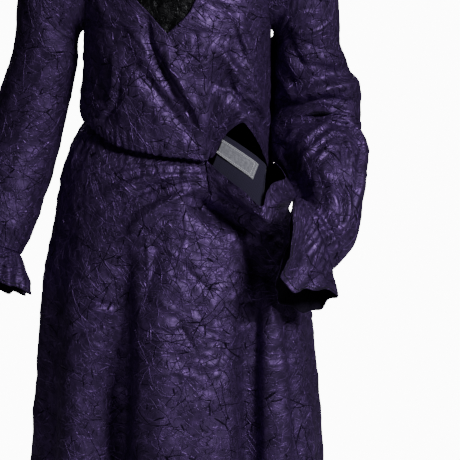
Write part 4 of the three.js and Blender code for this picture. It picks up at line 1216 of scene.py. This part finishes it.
SKIRT_CREASES = creases(
    (-9.0, 7.0, 124, 232, 128, 262, 130, 300, 132, 350, 134, 460),
    (-6.0, 9.0, 112, 330, 112, 380, 118, 460),
    (3.0, 1.8, 147, 236, 148, 268, 150, 300),
    (-4.5, 2.4, 77, 308, 90, 304, 99, 303, 117, 306),
    (3.0, 2.0, 77, 312, 92, 310, 104, 308),
    (-6.5, 4.5, 238, 226, 247, 246, 254, 268, 257, 300, 257, 340, 254, 380, 259, 460),
    (4.0, 3.0, 252, 262, 264, 292, 273, 328, 279, 350, 283, 407, 287, 460),
    (2.2, 1.0, 245, 365, 262, 364, 283, 363),
    (2.4, 1.0, 223, 338, 240, 332, 251, 328),
    (2.2, 1.0, 223, 338, 219, 322, 214, 306),
    (-2.4, 1.6, 223, 338, 206, 330, 198, 322),
    (2.2, 1.0, 223, 338, 234, 350, 245, 366),
    (-2.2, 1.4, 223, 338, 222, 356, 216, 372),
    (2.2, 1.0, 181, 260, 164, 246, 150, 236),
    (2.0, 1.0, 181, 260, 186, 236, 188, 214),
    (2.0, 1.0, 181, 260, 170, 268, 158, 277),
    (-2.4, 1.5, 181, 260, 190, 274, 204, 286, 214, 300),
    (1.4, 0.8, 184.5, 196, 184.5, 224),
    (1.4, 0.8, 243, 232, 243, 262),
    (1.2, 0.8, 97, 268, 98, 300),
    (-2.2, 1.6, 148, 316, 156, 328, 170, 334, 186, 322),
    (2.0, 1.1, 157, 326, 176, 327, 192, 318),
    (-2.6, 1.8, 180, 326, 187, 338, 196, 352),
    (1.8, 1.0, 168, 352, 180, 344, 190, 340),
    (2.0, 1.1, 154, 376, 176, 372, 200, 380, 214, 376),
    (-2.2, 1.5, 160, 392, 176, 398, 192, 396),
    (2.0, 1.0, 188, 400, 204, 414, 222, 420),
    (-2.4, 1.6, 206, 430, 222, 440, 240, 444),
    (1.8, 1.0, 246, 436, 236, 424, 222, 414),
    (2.2, 1.2, 88, 340, 106, 352, 112, 374),
    (1.8, 0.9, 96, 338, 118, 362, 124, 376),
    (1.8, 0.9, 80, 414, 94, 428, 102, 440),
    (2.0, 1.0, 281, 336, 288, 342, 300, 348),
    (-1.8, 1.2, 287, 390, 292, 410, 298, 430, 300, 456),
    (1.6, 0.9, 296, 412, 308, 402, 316, 396),
    (1.6, 0.9, 246, 378, 256, 392, 272, 396),
)
DRAG_LINES = creases(
    (2.4, 1.3, 80, 188, 110, 176, 140, 168, 176, 166, 204, 168),
    (-2.4, 1.5, 78, 196, 108, 184, 140, 174, 178, 171, 206, 172),
    (2.4, 1.3, 80, 206, 106, 194, 138, 182, 174, 176, 206, 175),
    (-2.2, 1.5, 86, 216, 112, 202, 144, 189, 178, 180, 208, 178),
    (2.4, 1.3, 96, 220, 122, 206, 150, 194, 180, 184, 208, 180),
    (-2.4, 1.5, 104, 232, 130, 214, 156, 199, 182, 189, 204, 184),
    (2.2, 1.3, 114, 240, 138, 222, 160, 206, 184, 194, 206, 187),
    (-2.0, 1.4, 126, 246, 146, 228, 166, 212, 186, 200),
    (1.8, 1.0, 92, 176, 120, 168, 150, 162),
    (-1.6, 1.1, 104, 190, 128, 186, 156, 178),
    (1.6, 0.9, 150, 196, 168, 186, 186, 172),
    (3.4, 2.4, 202, 172, 218, 180, 236, 192, 252, 204),
    (-4.5, 3.0, 198, 192, 214, 196, 232, 204, 246, 214),
    (2.4, 1.4, 198, 204, 210, 214, 224, 226),
    (-2.6, 1.8, 206, 222, 216, 232, 222, 244),
)
SLEEVE_STEPS = (
    Crease(3.5, 5.0, (284, 105, 300, 104, 320, 103, 340, 107, 357, 115), recover=20.0),
    Crease(
        6.0, 4.5,
        (276, 160, 290, 154, 305, 144, 318, 132, 332, 122, 346, 124, 356, 134, 361, 152, 359, 180, 352, 214),
        recover=8.0,
    ),
    Crease(4.5, 4.0, (296, 168, 308, 156, 320, 144, 333, 134, 343, 138, 348, 150, 350, 172), recover=7.0),
    Crease(3.0, 3.0, (312, 168, 322, 156, 332, 146, 340, 150, 342, 166), recover=5.0),
    Crease(3.5, 3.5, (273, 138, 284, 142, 292, 136, 298, 126), recover=6.0),
)
SLEEVE_CREASES = creases(
    (-4.0, 9.0, 288, 93, 306, 91, 326, 91, 344, 96),
    (-4.0, 7.0, 300, 128, 316, 122, 330, 112),
    (-5.0, 8.0, 282, 120, 284, 150, 288, 182, 300, 214),
    (-5.0, 5.0, 288, 52, 302, 64, 320, 68, 340, 72, 354, 80),
    (-7.0, 9.0, 296, 172, 302, 186, 306, 200),
    (-4.0, 5.0, 318, 176, 322, 192, 326, 208),
    (-2.6, 3.2, 283, 22, 290, 42, 300, 62, 306, 72),
    (2.6, 1.8, 341, 176, 348, 192, 350, 208, 346, 226),
    (-3.0, 2.2, 334, 178, 340, 196, 342, 214, 338, 232),
    (2.8, 1.6, 300, 192, 322, 190, 336, 198, 342, 214),
    (-3.2, 2.2, 298, 184, 316, 184, 332, 186),
    (2.6, 1.5, 306, 204, 316, 216, 328, 236, 334, 256),
    (-3.0, 2.0, 312, 202, 324, 216, 334, 234, 340, 250),
    (2.6, 1.5, 320, 200, 332, 214, 342, 232),
    (-2.6, 1.8, 302, 214, 310, 232, 318, 252),
    (2.4, 1.4, 299, 222, 306, 240, 316, 262),
    (-2.0, 1.5, 318, 250, 328, 258, 338, 258),
    (1.8, 0.9, 289, 24, 300, 34, 320, 30, 334, 18),
    (1.8, 0.9, 290, 18, 306, 12, 322, 14),
    (-2.0, 1.3, 296, 40, 312, 46, 330, 52),
    (1.8, 1.0, 300, 62, 312, 56, 322, 52),
    (1.6, 0.9, 304, 92, 316, 97, 326, 90, 336, 96),
    (2.4, 1.6, 272, 60, 282, 82, 292, 98),
    (-3.4, 2.4, 276, 54, 288, 74, 296, 92),
)


def hem_band(room: Array, width: float, fade: float) -> Array:
    """Gives 1 on a hem as wide as width, and 0 beyond it."""
    return 1 - ramp(room, width, width + fade)


def gather_phase(psi: Array) -> Array:
    """Gives the phase of the uneven gathers round a wrist's elastic."""
    return np.radians(psi * GATHER_COUNT) + 1.2 * np.sin(np.radians(psi * 5 + 40))


class SatinPiece:
    """What all pieces of the purple satin do with their cloth."""

    name: str
    flat: tuple[float, float]
    area: float  # none is given for a ruffle
    thickness: float
    cloth: Cloth

    def wall(self) -> Array | float:
        """Gives how thick the wall is, at each point or all over."""
        return self.thickness

    def hold(self, piece: Piece) -> None:
        """Does nothing to the cloth."""

    def dress(self, satin: Material, wrong_face_matt_with_painted_shade: Material) -> None:
        """Args:
            satin: Its finish.
            wrong_face_matt_with_painted_shade: The finish of its inside: matt and duller, and darkened near
                black with painted shade.
        """
        piece = self.cloth.shell(self.name + "_cloth", self.wall(), satin, wrong_face_matt_with_painted_shade)
        declare(piece, self.name)
        self.hold(piece)


@dataclass
class Bodice(SatinPiece):
    """One panel of the bodice, with its own half of the neckline."""

    name: str
    flat: tuple[float, float]
    area: float
    centre: float
    neck_z: float
    half_steps: int
    low_rows: int
    armhole_rows: int
    shoulder_rows: int = 14
    seed: int = 3
    creases: tuple[Crease, ...] = ()
    crease_gain: float = 1.3
    row_bias: float = 1.35  # brings rows closer together at the waist
    gather_height: float = 1.2
    gather_pitch: float = 0.62
    thickness: float = 1.0
    hem: float = 0.7
    hem_width: float = 5.0
    cloth: Cloth = field(init=False)

    def edge(self, side: int, level: Array) -> Array:
        """Gives the angle from the panel's middle to the neckline, or to the line below its point."""
        z = mix(UNDERARM_Z, NECK_POINT_Z, level - 1)
        if self.centre != 0:
            return side * phi_at(read(BACK_NECK, "z", "half", z), z)
        if side == 0:
            return phi_at(V_POINT_X, UNDERARM_Z) * ramp(level, 0, 0.6)
        return phi_at(read(FRONT_NECK, "z", "left" if side > 0 else "right", z), z)

    def levels(self) -> tuple[Array, int]:
        """Gives the rows' levels and the number of the row at the neckline's point."""
        top = level_at(SHOULDER_TIP_Z)
        rows = np.concatenate([
            np.linspace(0, 1, self.low_rows + 1) ** self.row_bias,
            armhole_level(np.linspace(0, 1, self.armhole_rows + 1))[1:],
            mix(top, 2, np.linspace(0, 1, self.shoulder_rows + 1))[1:],
        ])
        neck = level_at(self.neck_z)
        nearest = int(np.argmin(np.abs(rows - neck)))
        rows[nearest] = neck
        return rows, nearest

    def angles(self, levels: Array, neck: int) -> Array:
        """Gives the angle of each point round the torso."""
        facing = 1 if self.centre == 0 else -1
        z = mix(UNDERARM_Z, NECK_POINT_Z, np.maximum(levels, 1) - 1)
        outer = np.where(levels <= 1, 90.0, outer_phi(z))
        share = np.linspace(0, 1, self.half_steps + 1)
        whole = np.arange(len(levels)) <= neck
        halves = []
        for side, order in ((-facing, share[::-1]), (facing, share)):
            inner = np.where(whole, self.edge(0, levels), self.edge(side, levels))
            halves.append(mix(inner[:, None], (side * outer)[:, None], order[None, :]))
        return wrap(self.centre + facing * np.concatenate(halves, axis=1))

    def build(self) -> None:
        """Places the panel's points and puts its creases and gathers in them."""
        levels, neck = self.levels()
        phi = self.angles(levels, neck)
        points = bodice(phi, np.broadcast_to(levels[:, None], phi.shape))
        points[0, :, 2] += SEAM_GAP / 2
        self.cloth = Cloth(points, split=self.half_steps, split_row=neck)
        u, v = self.cloth.u, self.cloth.v
        near_seam = ramp(self.cloth.edge_room(False, True, True), 0, SEWN_FADE)
        opening = open_at(phi)
        calm = near_seam * mix(ramp(v, 4, 26), 1.0, opening)
        rough = Crush(self.seed).height(u, v)
        placed = self.crease_gain * creases_height(self.creases, self.cloth.points, self.cloth.normals())
        wander = u * self.gather_pitch + 1.5 * np.sin(u * 0.11)
        gathered = self.gather_height * ramp(v, 3, 12) * (1 - ramp(v, 26, 60)) * np.cos(wander)
        self.cloth.lift(calm * (rough + placed) + (1 - opening) * near_seam * gathered)

    def wall(self) -> Array:
        """Gives how thick the wall is, more along the neckline's hem."""
        free = np.minimum(
            np.abs(self.cloth.u - self.cloth.u[:, self.half_steps, None]),
            np.abs(self.cloth.u - self.cloth.u[:, self.half_steps + 1, None]),
        )
        above = ramp(self.cloth.v - self.cloth.v[self.levels()[1]], 0, 2)
        return self.thickness + self.hem * above * hem_band(free, self.hem_width, 1.5)

    def hold(self, piece: Piece) -> None:
        """Does nothing to the panel."""


@dataclass
class Skirt(SatinPiece):
    """One panel of the skirt, gathered into the waist seam."""

    name: str
    flat: tuple[float, float]
    area: float
    start: float
    steps: int
    upper_rows: int
    lower_rows: int
    seed: int = 11
    creases: tuple[Crease, ...] = ()
    upper_share: float = 0.37
    upper_bias: float = 1.15
    lower_bias: float = 1.25
    gathers: float = 0.42
    gather_depth: float = 1.5
    thickness: float = 1.0
    hem: float = 0.6
    hem_width: float = 12.0
    cloth: Cloth = field(init=False)

    def build(self) -> None:
        """Places the panel's points and puts its creases and gathers in them."""
        upper = np.linspace(0, 1, self.upper_rows + 1) ** self.upper_bias * self.upper_share
        lower = mix(self.upper_share, 1, np.linspace(0, 1, self.lower_rows + 1) ** self.lower_bias)[1:]
        shares = np.concatenate([upper, lower])[::-1]
        phi = wrap(np.linspace(self.start, self.start + 180, self.steps + 1))
        points = skirt(phi[None, :], shares[:, None])
        points[-1, :, 2] -= SEAM_GAP / 2
        self.cloth = Cloth(points)
        u, v = self.cloth.u, self.cloth.v
        fall = v[-1:] - v
        near_seam = ramp(self.cloth.edge_room(False, False, True), 0, SEWN_FADE)
        opening = open_at(phi)[None, :]
        calm = near_seam * mix(ramp(fall, 3, 30), ramp(fall, -1, 6), opening)
        top_u = u[-1:, :] + 0 * u
        wander = top_u + 3 * np.sin(top_u * 0.09 + fall * 0.02) + 1.6 * np.sin(top_u * 0.23)
        depth = ramp(fall, 1, 9) * (1 - ramp(fall, 22, 110))
        smooth = ramp(phi, -72, -50) * (1 - ramp(phi, 18, 40))
        gathered = self.gather_depth * (1 - 0.75 * smooth) * depth * np.cos(wander * self.gathers)
        placed = creases_height(self.creases, points, self.cloth.normals())
        rough = Crush(self.seed).height(u, v)
        self.cloth.lift(calm * (rough + placed) + near_seam * (1 - opening) * gathered)

    def wall(self) -> Array:
        """Gives how thick the wall is, more along the skirt's hem."""
        return self.thickness + self.hem * hem_band(self.cloth.v, self.hem_width, 3)


@dataclass
class Sleeve(SatinPiece):
    """A sleeve from its armhole to its elastic."""

    name: str
    mirror: int
    flat: tuple[float, float]
    area: float
    columns: int
    rows: int
    seed: int
    creases: tuple[Crease, ...] = ()
    crease_gain: float = 1.5
    thickness: float = 1.0
    cloth: Cloth = field(init=False)

    def stations(self) -> list[Ring]:
        """Gives the sleeve's rings from the armhole to the wrist."""
        arm = LEFT_SLEEVE if self.mirror > 0 else RIGHT_SLEEVE
        wrist = left_wrist if self.mirror > 0 else right_wrist(0, 0)
        caps = [cap_ring(row, self.mirror) for row in rows_of(SLEEVE_CAP)]
        arms = [sleeve_ring(row, self.mirror) for row in rows_of(arm)]
        return [armhole_ring(self.mirror), *caps, *arms, wrist]

    def build(self) -> None:
        """Places the sleeve's points and puts its folds, creases and gathers in them."""
        psi = self.mirror * np.linspace(-180, 180, self.columns + 1)
        shares = np.linspace(0, 1, self.rows + 1)
        self.cloth = Cloth(loft(self.stations(), psi, shares), closed=True)
        at = np.broadcast_to(shares[:, None], self.cloth.u.shape)
        around = np.broadcast_to(psi[None, :], at.shape)
        if self.mirror > 0:
            folds = np.zeros(at.shape)
            for fold in rows_of(ELBOW_FOLDS):
                away = away_from(around, fold["psi"]) / fold["spread"]
                folds += fold["depth"] * np.exp(-(((at - fold["at"]) / fold["width"]) ** 2) - away**2)
            self.cloth.lift(folds)
        calm = ramp(self.cloth.edge_room(True, True, True), 0, RING_FADE)
        end = self.cloth.v[-1:] - self.cloth.v
        near = ramp(end, 0, 5) * (1 - ramp(end, 12, 55))
        gathered = GATHER_HEIGHT * near * np.cos(gather_phase(around) + 0.02 * end)
        placed = self.crease_gain * creases_height(self.creases, self.cloth.points, self.cloth.normals())
        rough = Crush(self.seed).height(self.cloth.u, self.cloth.v)
        self.cloth.lift(calm * (rough * (1 - 0.5 * near) + placed) + gathered)


@dataclass
class Ruffle(SatinPiece):
    """The ruffle below a sleeve's elastic."""

    name: str
    mirror: int
    flat: tuple[float, float]
    columns: int = 220
    rows: int = 34
    waves: int = 12
    wave: float = 3.2
    belly: float = 5.0
    seed: int = 41
    crush: float = 0.75
    thickness: float = 1.0
    hem: float = 0.7
    hem_width: float = 4.0
    spread: float = 26.0
    length: float = 58.0
    reach: float = 40.0  # how far the middle has moved at the hem
    stitch_room: float = 5.0
    stitch_lift: float = 0.5
    cloth: Cloth = field(init=False)

    def line(self, psi: Array, at: float) -> tuple[Array, Array]:
        """Gives one row of the ruffle without its waves, and the middle that they turn away from."""
        if self.mirror > 0:
            turn = (180 - psi - WRIST_TURN) % 360
            points = mix(left_wrist(psi, SEAM_GAP), read_point(LEFT_HEM, "turn", turn), at)
            return points, WRIST + WRIST_FACE * self.reach * at
        wrist = rows_of(RIGHT_WRIST)[0]
        points = mix(right_wrist(0, SEAM_GAP)(psi), right_wrist(self.spread, self.length)(psi), at)
        return points, np.array([-wrist["x"], wrist["y"], wrist["z"] - self.reach * at])

    def build(self) -> None:
        """Places the ruffle's points and puts its waves and gathers in them."""
        psi = self.mirror * np.linspace(-180, 180, self.columns + 1)
        rows = []
        for at in np.linspace(0, 1, self.rows + 1):
            points, middle = self.line(psi, float(at))
            wave = self.wave * ramp(at, 0.05, 0.9) * np.sin(np.radians(psi * self.waves))
            out = wave + self.belly * math.sin(math.pi * at)
            rows.append(points + unit(points - middle) * out[:, None])
        self.cloth = Cloth(np.stack(rows), closed=True)
        u, v = self.cloth.u, self.cloth.v
        calm = ramp(self.cloth.edge_room(True, False, True), 0, RING_FADE)
        fine = GATHER_HEIGHT * ramp(v, 0, 4) * (1 - ramp(v, 12, 40))
        rough = Crush(self.seed, depth=self.crush).height(u, v)
        self.cloth.lift(calm * rough + fine * np.cos(gather_phase(psi))[None, :])

    def wall(self) -> Array:
        """Gives how thick the wall is, more along the turned hem."""
        return self.thickness + self.hem * hem_band(self.cloth.v[-1:] - self.cloth.v, self.hem_width, 1.5)

    def hold(self, piece: Piece) -> None:
        """Does nothing to the ruffle."""

    def hem_line(self) -> Array:
        """Gives the line of the hem's stitches, on the outside."""
        row = int(np.argmin(np.abs(self.cloth.v[:, 0] - (self.cloth.v[-1, 0] - self.stitch_room))))
        return (self.cloth.points + self.cloth.normals() * (self.thickness / 2 + self.stitch_lift))[row]


@dataclass
class Opening:
    """The flap behind the waist opening, with its patch of loop tape."""

    start: float = 21.0
    end: float = 51.0
    lift: float = (CAD_WALL + CAD_THIN_WALL) / 2 + SEAM_GAP
    start_lift: float = 1.2
    edge_share: float = 0.012
    patch_across: float = 0.7
    patch_up: tuple[float, float] = (0.47, 0.86)
    patch_lift: float = CAD_THIN_WALL + SEAM_GAP
    flat: tuple[float, float] = (0.115, 0.085)
    patch_flat: tuple[float, float] = (0.062, 0.025)
    thickness: float = 1.1
    hem: float = 0.5
    hem_width: float = 4.0
    pile: float = 0.1
    stitch_lift: float = 0.95
    flap_cloth: Cloth = field(init=False)
    patch_cloth: Cloth = field(init=False)

    def surface(self, share: Array, up: Array) -> Array:
        """Gives points of the flap by the share along its foot and the share of its height."""
        phi = mix(self.start, self.end, share)
        low_share = np.full(np.shape(phi), self.edge_share)
        lift = self.lift + self.start_lift * (1 - ramp(share, 0, 0.15))
        outward = normal_of(skirt, phi, low_share, 0.4, 0.004)
        low = skirt(phi, low_share) + outward * np.asarray(lift)[..., None]
        high = read_point(FLAP_TOP, "share", share)
        return low + (high - low) * np.asarray(up)[..., None]

    def build(self) -> None:
        """Places the points of flap and patch."""
        share, up = np.meshgrid(np.linspace(0, 1, 61), np.linspace(0, 1, 51))
        self.flap_cloth = Cloth(self.surface(share, up))
        u, v = self.flap_cloth.u, self.flap_cloth.v
        sway = 0.5 * np.sin(u * 0.055 + 1) * np.sin(v * 0.05)
        self.flap_cloth.lift(sway + Crush(91, depth=0.06).height(u, v))
        share, up = np.meshgrid(np.linspace(0, self.patch_across, 49), np.linspace(*self.patch_up, 25))
        normals = normal_of(self.surface, share, up, 0.01, 0.01)
        self.patch_cloth = Cloth(self.surface(share, up) + normals * self.patch_lift)

    def dress(self, navy: Material, tape: Material) -> None:
        """Args:
            navy: The flap's finish.
            tape: The patch's finish.
        """
        hem = hem_band(self.flap_cloth.edge_room(True, True, True), self.hem_width, 1)
        flap = self.flap_cloth.shell("opening_flap_cloth", self.thickness + self.hem * hem, navy)
        declare(flap, "opening_flap")
        rng = np.random.default_rng(5)
        room = self.patch_cloth.edge_room(True, True, True)
        self.patch_cloth.lift(self.pile * rng.uniform(-1, 1, room.shape) * ramp(room, 1, 3))
        patch = self.patch_cloth.shell("loop_patch_tape", self.thickness, tape)
        declare(patch, "loop_patch")

    def stitch_lines(self) -> list[Array]:
        """Gives the two lines of stitches round the patch's sewn edges."""
        above = self.patch_cloth.points + self.patch_cloth.normals() * self.stitch_lift
        lines = []
        for inset in (1, 3):
            row, column = inset, inset * 2
            top = above[-1 - row, : above.shape[1] - column]
            side = above[row : above.shape[0] - row, -1 - column][::-1]
            low = above[row, : above.shape[1] - column][::-1]
            lines.append(np.concatenate([top[:-1], side, low[1:]]))
        return lines


@dataclass
class Inset:
    """The black cloth behind the V of the neckline."""

    top_z: float = -92.0
    lap: float = 9.0
    depth: float = 4.1
    below: float = 16.0
    flat: tuple[float, float] = (0.19, 0.16)
    area: float = 0.017
    thickness: float = 0.9
    cloth: Cloth = field(init=False)

    def surface(self, across: Array, share: Array) -> Array:
        """Gives points of the inset, parallel to the bodice's front."""
        z = mix(UNDERARM_Z - self.below, self.top_z, share)
        neck_z = np.maximum(z, UNDERARM_Z)
        right = phi_at(read(FRONT_NECK, "z", "right", neck_z) - self.lap, neck_z)
        left = phi_at(read(FRONT_NECK, "z", "left", neck_z) + self.lap, neck_z)
        phi = mix(right, left, across)
        low = 1 - (UNDERARM_Z - z) / (UNDERARM_Z - waist_z(phi))
        level = np.where(z > UNDERARM_Z, level_at(z), low)
        return bodice(phi, level) - normal_of(bodice, phi, level, 0.4, 0.004) * self.depth

    def build(self) -> None:
        """Places the inset's points and crushes it."""
        across, share = np.meshgrid(np.linspace(0, 1, 71), np.linspace(0, 1, 71))
        self.cloth = Cloth(self.surface(across, share))
        room = self.cloth.edge_room(True, False, True)
        rough = Crush(77, depth=0.8).height(self.cloth.u, self.cloth.v)
        self.cloth.lift(ramp(room, 8, 22) * np.minimum(rough, 2.2) - 0.6)

    def dress(self, black: Material) -> None:
        piece = self.cloth.shell("neck_inset_cloth", self.thickness, black)
        declare(piece, "neck_inset")


@dataclass
class Studio:
    """The floor, soft lights, background and camera."""

    floor_z: float = -1420.0
    floor_half: float = 1550.0
    dim: float = 0.015
    white: float = 12.0
    sensor: float = 36.0

    def floor(self) -> None:
        """Lays a plain pale floor under the hem."""
        half, z = self.floor_half * MM, self.floor_z * MM
        corners = [(-half, -half, z), (half, -half, z), (half, half, z), (-half, half, z)]
        mesh = bpy.data.meshes.new("studio_floor")
        mesh.from_pydata(corners, [], [(0, 1, 2, 3)])
        pale = {"Base Color": (0.78, 0.78, 0.8, 1), "Roughness": 0.75}
        mesh.materials.append(Tree("pale_floor").finish(pale))
        floor = add_object("studio_floor", mesh)

    def background(self) -> None:
        """Sets a white background that lights the cloth only a little."""
        world = bpy.data.worlds.new("studio")
        bpy.context.scene.world = world
        world.use_nodes = True
        nodes, links = world.node_tree.nodes, world.node_tree.links
        nodes.clear()
        out = nodes.new("ShaderNodeOutputWorld")
        choose = nodes.new("ShaderNodeMixShader")
        rays = nodes.new("ShaderNodeLightPath")
        for number, strength in ((1, self.dim), (2, self.white)):
            plain = nodes.new("ShaderNodeBackground")
            plain.inputs["Color"].default_value = (1, 1, 1, 1)
            plain.inputs["Strength"].default_value = strength
            links.new(plain.outputs[0], choose.inputs[number])
        links.new(rays.outputs["Is Camera Ray"], choose.inputs[0])
        links.new(choose.outputs[0], out.inputs[0])

    def softbox(
        self, name: str, place: tuple[float, ...], aim: tuple[float, ...], size: float, power: float
    ) -> None:
        """Adds a square softbox.

        Args:
            name: Its name.
            place: Where it stands, in metres.
            aim: What it points at.
            size: Its side.
            power: Its power in watts.
        """
        light = bpy.data.lights.new(name, "AREA")
        light.size = size
        light.energy = power
        lamp = add_object(name, light)
        lamp.location = place
        back = unit(np.array(place) - np.array(aim))
        lamp.rotation_euler = (math.acos(back[2]), 0, math.atan2(back[0], -back[1]))

    def camera(self) -> None:
        """Places the camera at the picture's angle."""
        data = bpy.data.cameras.new("camera")
        data.sensor_width = self.sensor
        data.sensor_fit = "HORIZONTAL"
        data.lens = VIEW.focal / VIEW.size * self.sensor
        camera = add_object("camera", data)
        camera.location = VIEW.position() * MM
        camera.rotation_euler = (math.radians(90 - VIEW.tilt), 0, 0)
        bpy.context.scene.camera = camera

    def build(self) -> None:
        """Sets up the whole studio."""
        self.camera()
        self.floor()
        self.background()
        self.softbox("key", (2.3, -2.7, 1.5), (0.05, -0.1, -0.6), 0.9, 104)
        self.softbox("fill", (-2.6, -2.2, 0.4), (0, 0, -0.5), 1.2, 2)
        self.softbox("back", (-0.6, 2.4, 1.4), (0, 0, -0.6), 1.2, 25)


def main() -> None:
    """Builds the studio and each piece of the dress in turn."""
    logging.basicConfig(level=logging.INFO, format="%(name)s %(message)s")
    Studio().build()
    satin = CrushedSatin("purple_crushed_satin", (0.075, 0.045, 0.125), (0.15, 0.08, 0.26))
    # The satin's wrong side: matt and duller, with painted shade that makes the insides of sleeves and
    # ruffles near black.
    wrong_face_matt_with_painted_shade = PlainCloth("satin_wrong_face_matt_with_painted_shade", (0.009, 0.006, 0.015), (0.018, 0.013, 0.03), Sheen.DULL)
    black = CrushedSatin("black_crushed_satin", (0.012, 0.012, 0.014), (0.05, 0.05, 0.055), roughness=0.4)
    navy = PlainCloth("navy_woven_cloth", (0.02, 0.015, 0.042), (0.03, 0.023, 0.06))
    tape = PlainCloth("grey_loop_tape", (0.24, 0.24, 0.28), (0.36, 0.36, 0.42), Sheen.FUZZY, 0.0011, 0.9)
    dark_thread = PlainCloth("dark_thread", (0.006, 0.005, 0.01), (0.012, 0.01, 0.02), pitch=0.0004)
    pale_thread = PlainCloth("pale_thread", (0.7, 0.7, 0.78), (0.85, 0.85, 0.9), pitch=0.0004)

    front = Bodice("bodice_front", (0.52, 0.48), 0.17, 0, UNDERARM_Z, 80, 92, 66, creases=BODICE_CREASES)
    back = Bodice("bodice_back", (0.5, 0.46), 0.19, 180, BACK_NECK_Z, 52, 56, 42, seed=5)
    skirt_creases = SKIRT_STEPS + SKIRT_CREASES + DRAG_LINES
    skirt_front = Skirt("skirt_front", (1.02, 0.96), 0.8, -90, 250, 136, 48, creases=skirt_creases)
    skirt_back = Skirt("skirt_back", (1.02, 0.96), 0.78, 90, 180, 70, 50, seed=13)
    left = Sleeve("sleeve_left", 1, (0.46, 0.6), 0.24, 144, 200, 21, SLEEVE_STEPS + SLEEVE_CREASES)
    right = Sleeve("sleeve_right", -1, (0.46, 0.6), 0.22, 104, 130, 23)
    left_ruffle = Ruffle("ruffle_left", 1, (0.44, 0.085))
    right_ruffle = Ruffle("ruffle_right", -1, (0.42, 0.065), 180, 24, wave=6.0, belly=4.0, seed=43)
    outside, inside = satin.material(), wrong_face_matt_with_painted_shade.material()
    for part in (front, back, skirt_front, skirt_back, left, right, left_ruffle, right_ruffle):
        part.build()
        part.dress(outside, inside)
    opening = Opening()
    opening.build()
    opening.dress(navy.material(), tape.material())
    inset = Inset()
    inset.build()
    inset.dress(black.material())
    stitching = Stitching()
    stitching.sew("patch_stitches", opening.stitch_lines(), pale_thread.material())
    hems = [left_ruffle.hem_line(), right_ruffle.hem_line()]
    stitching.sew("ruffle_hem_stitches", hems, dark_thread.material())


if __name__ == "__main__":
    main()
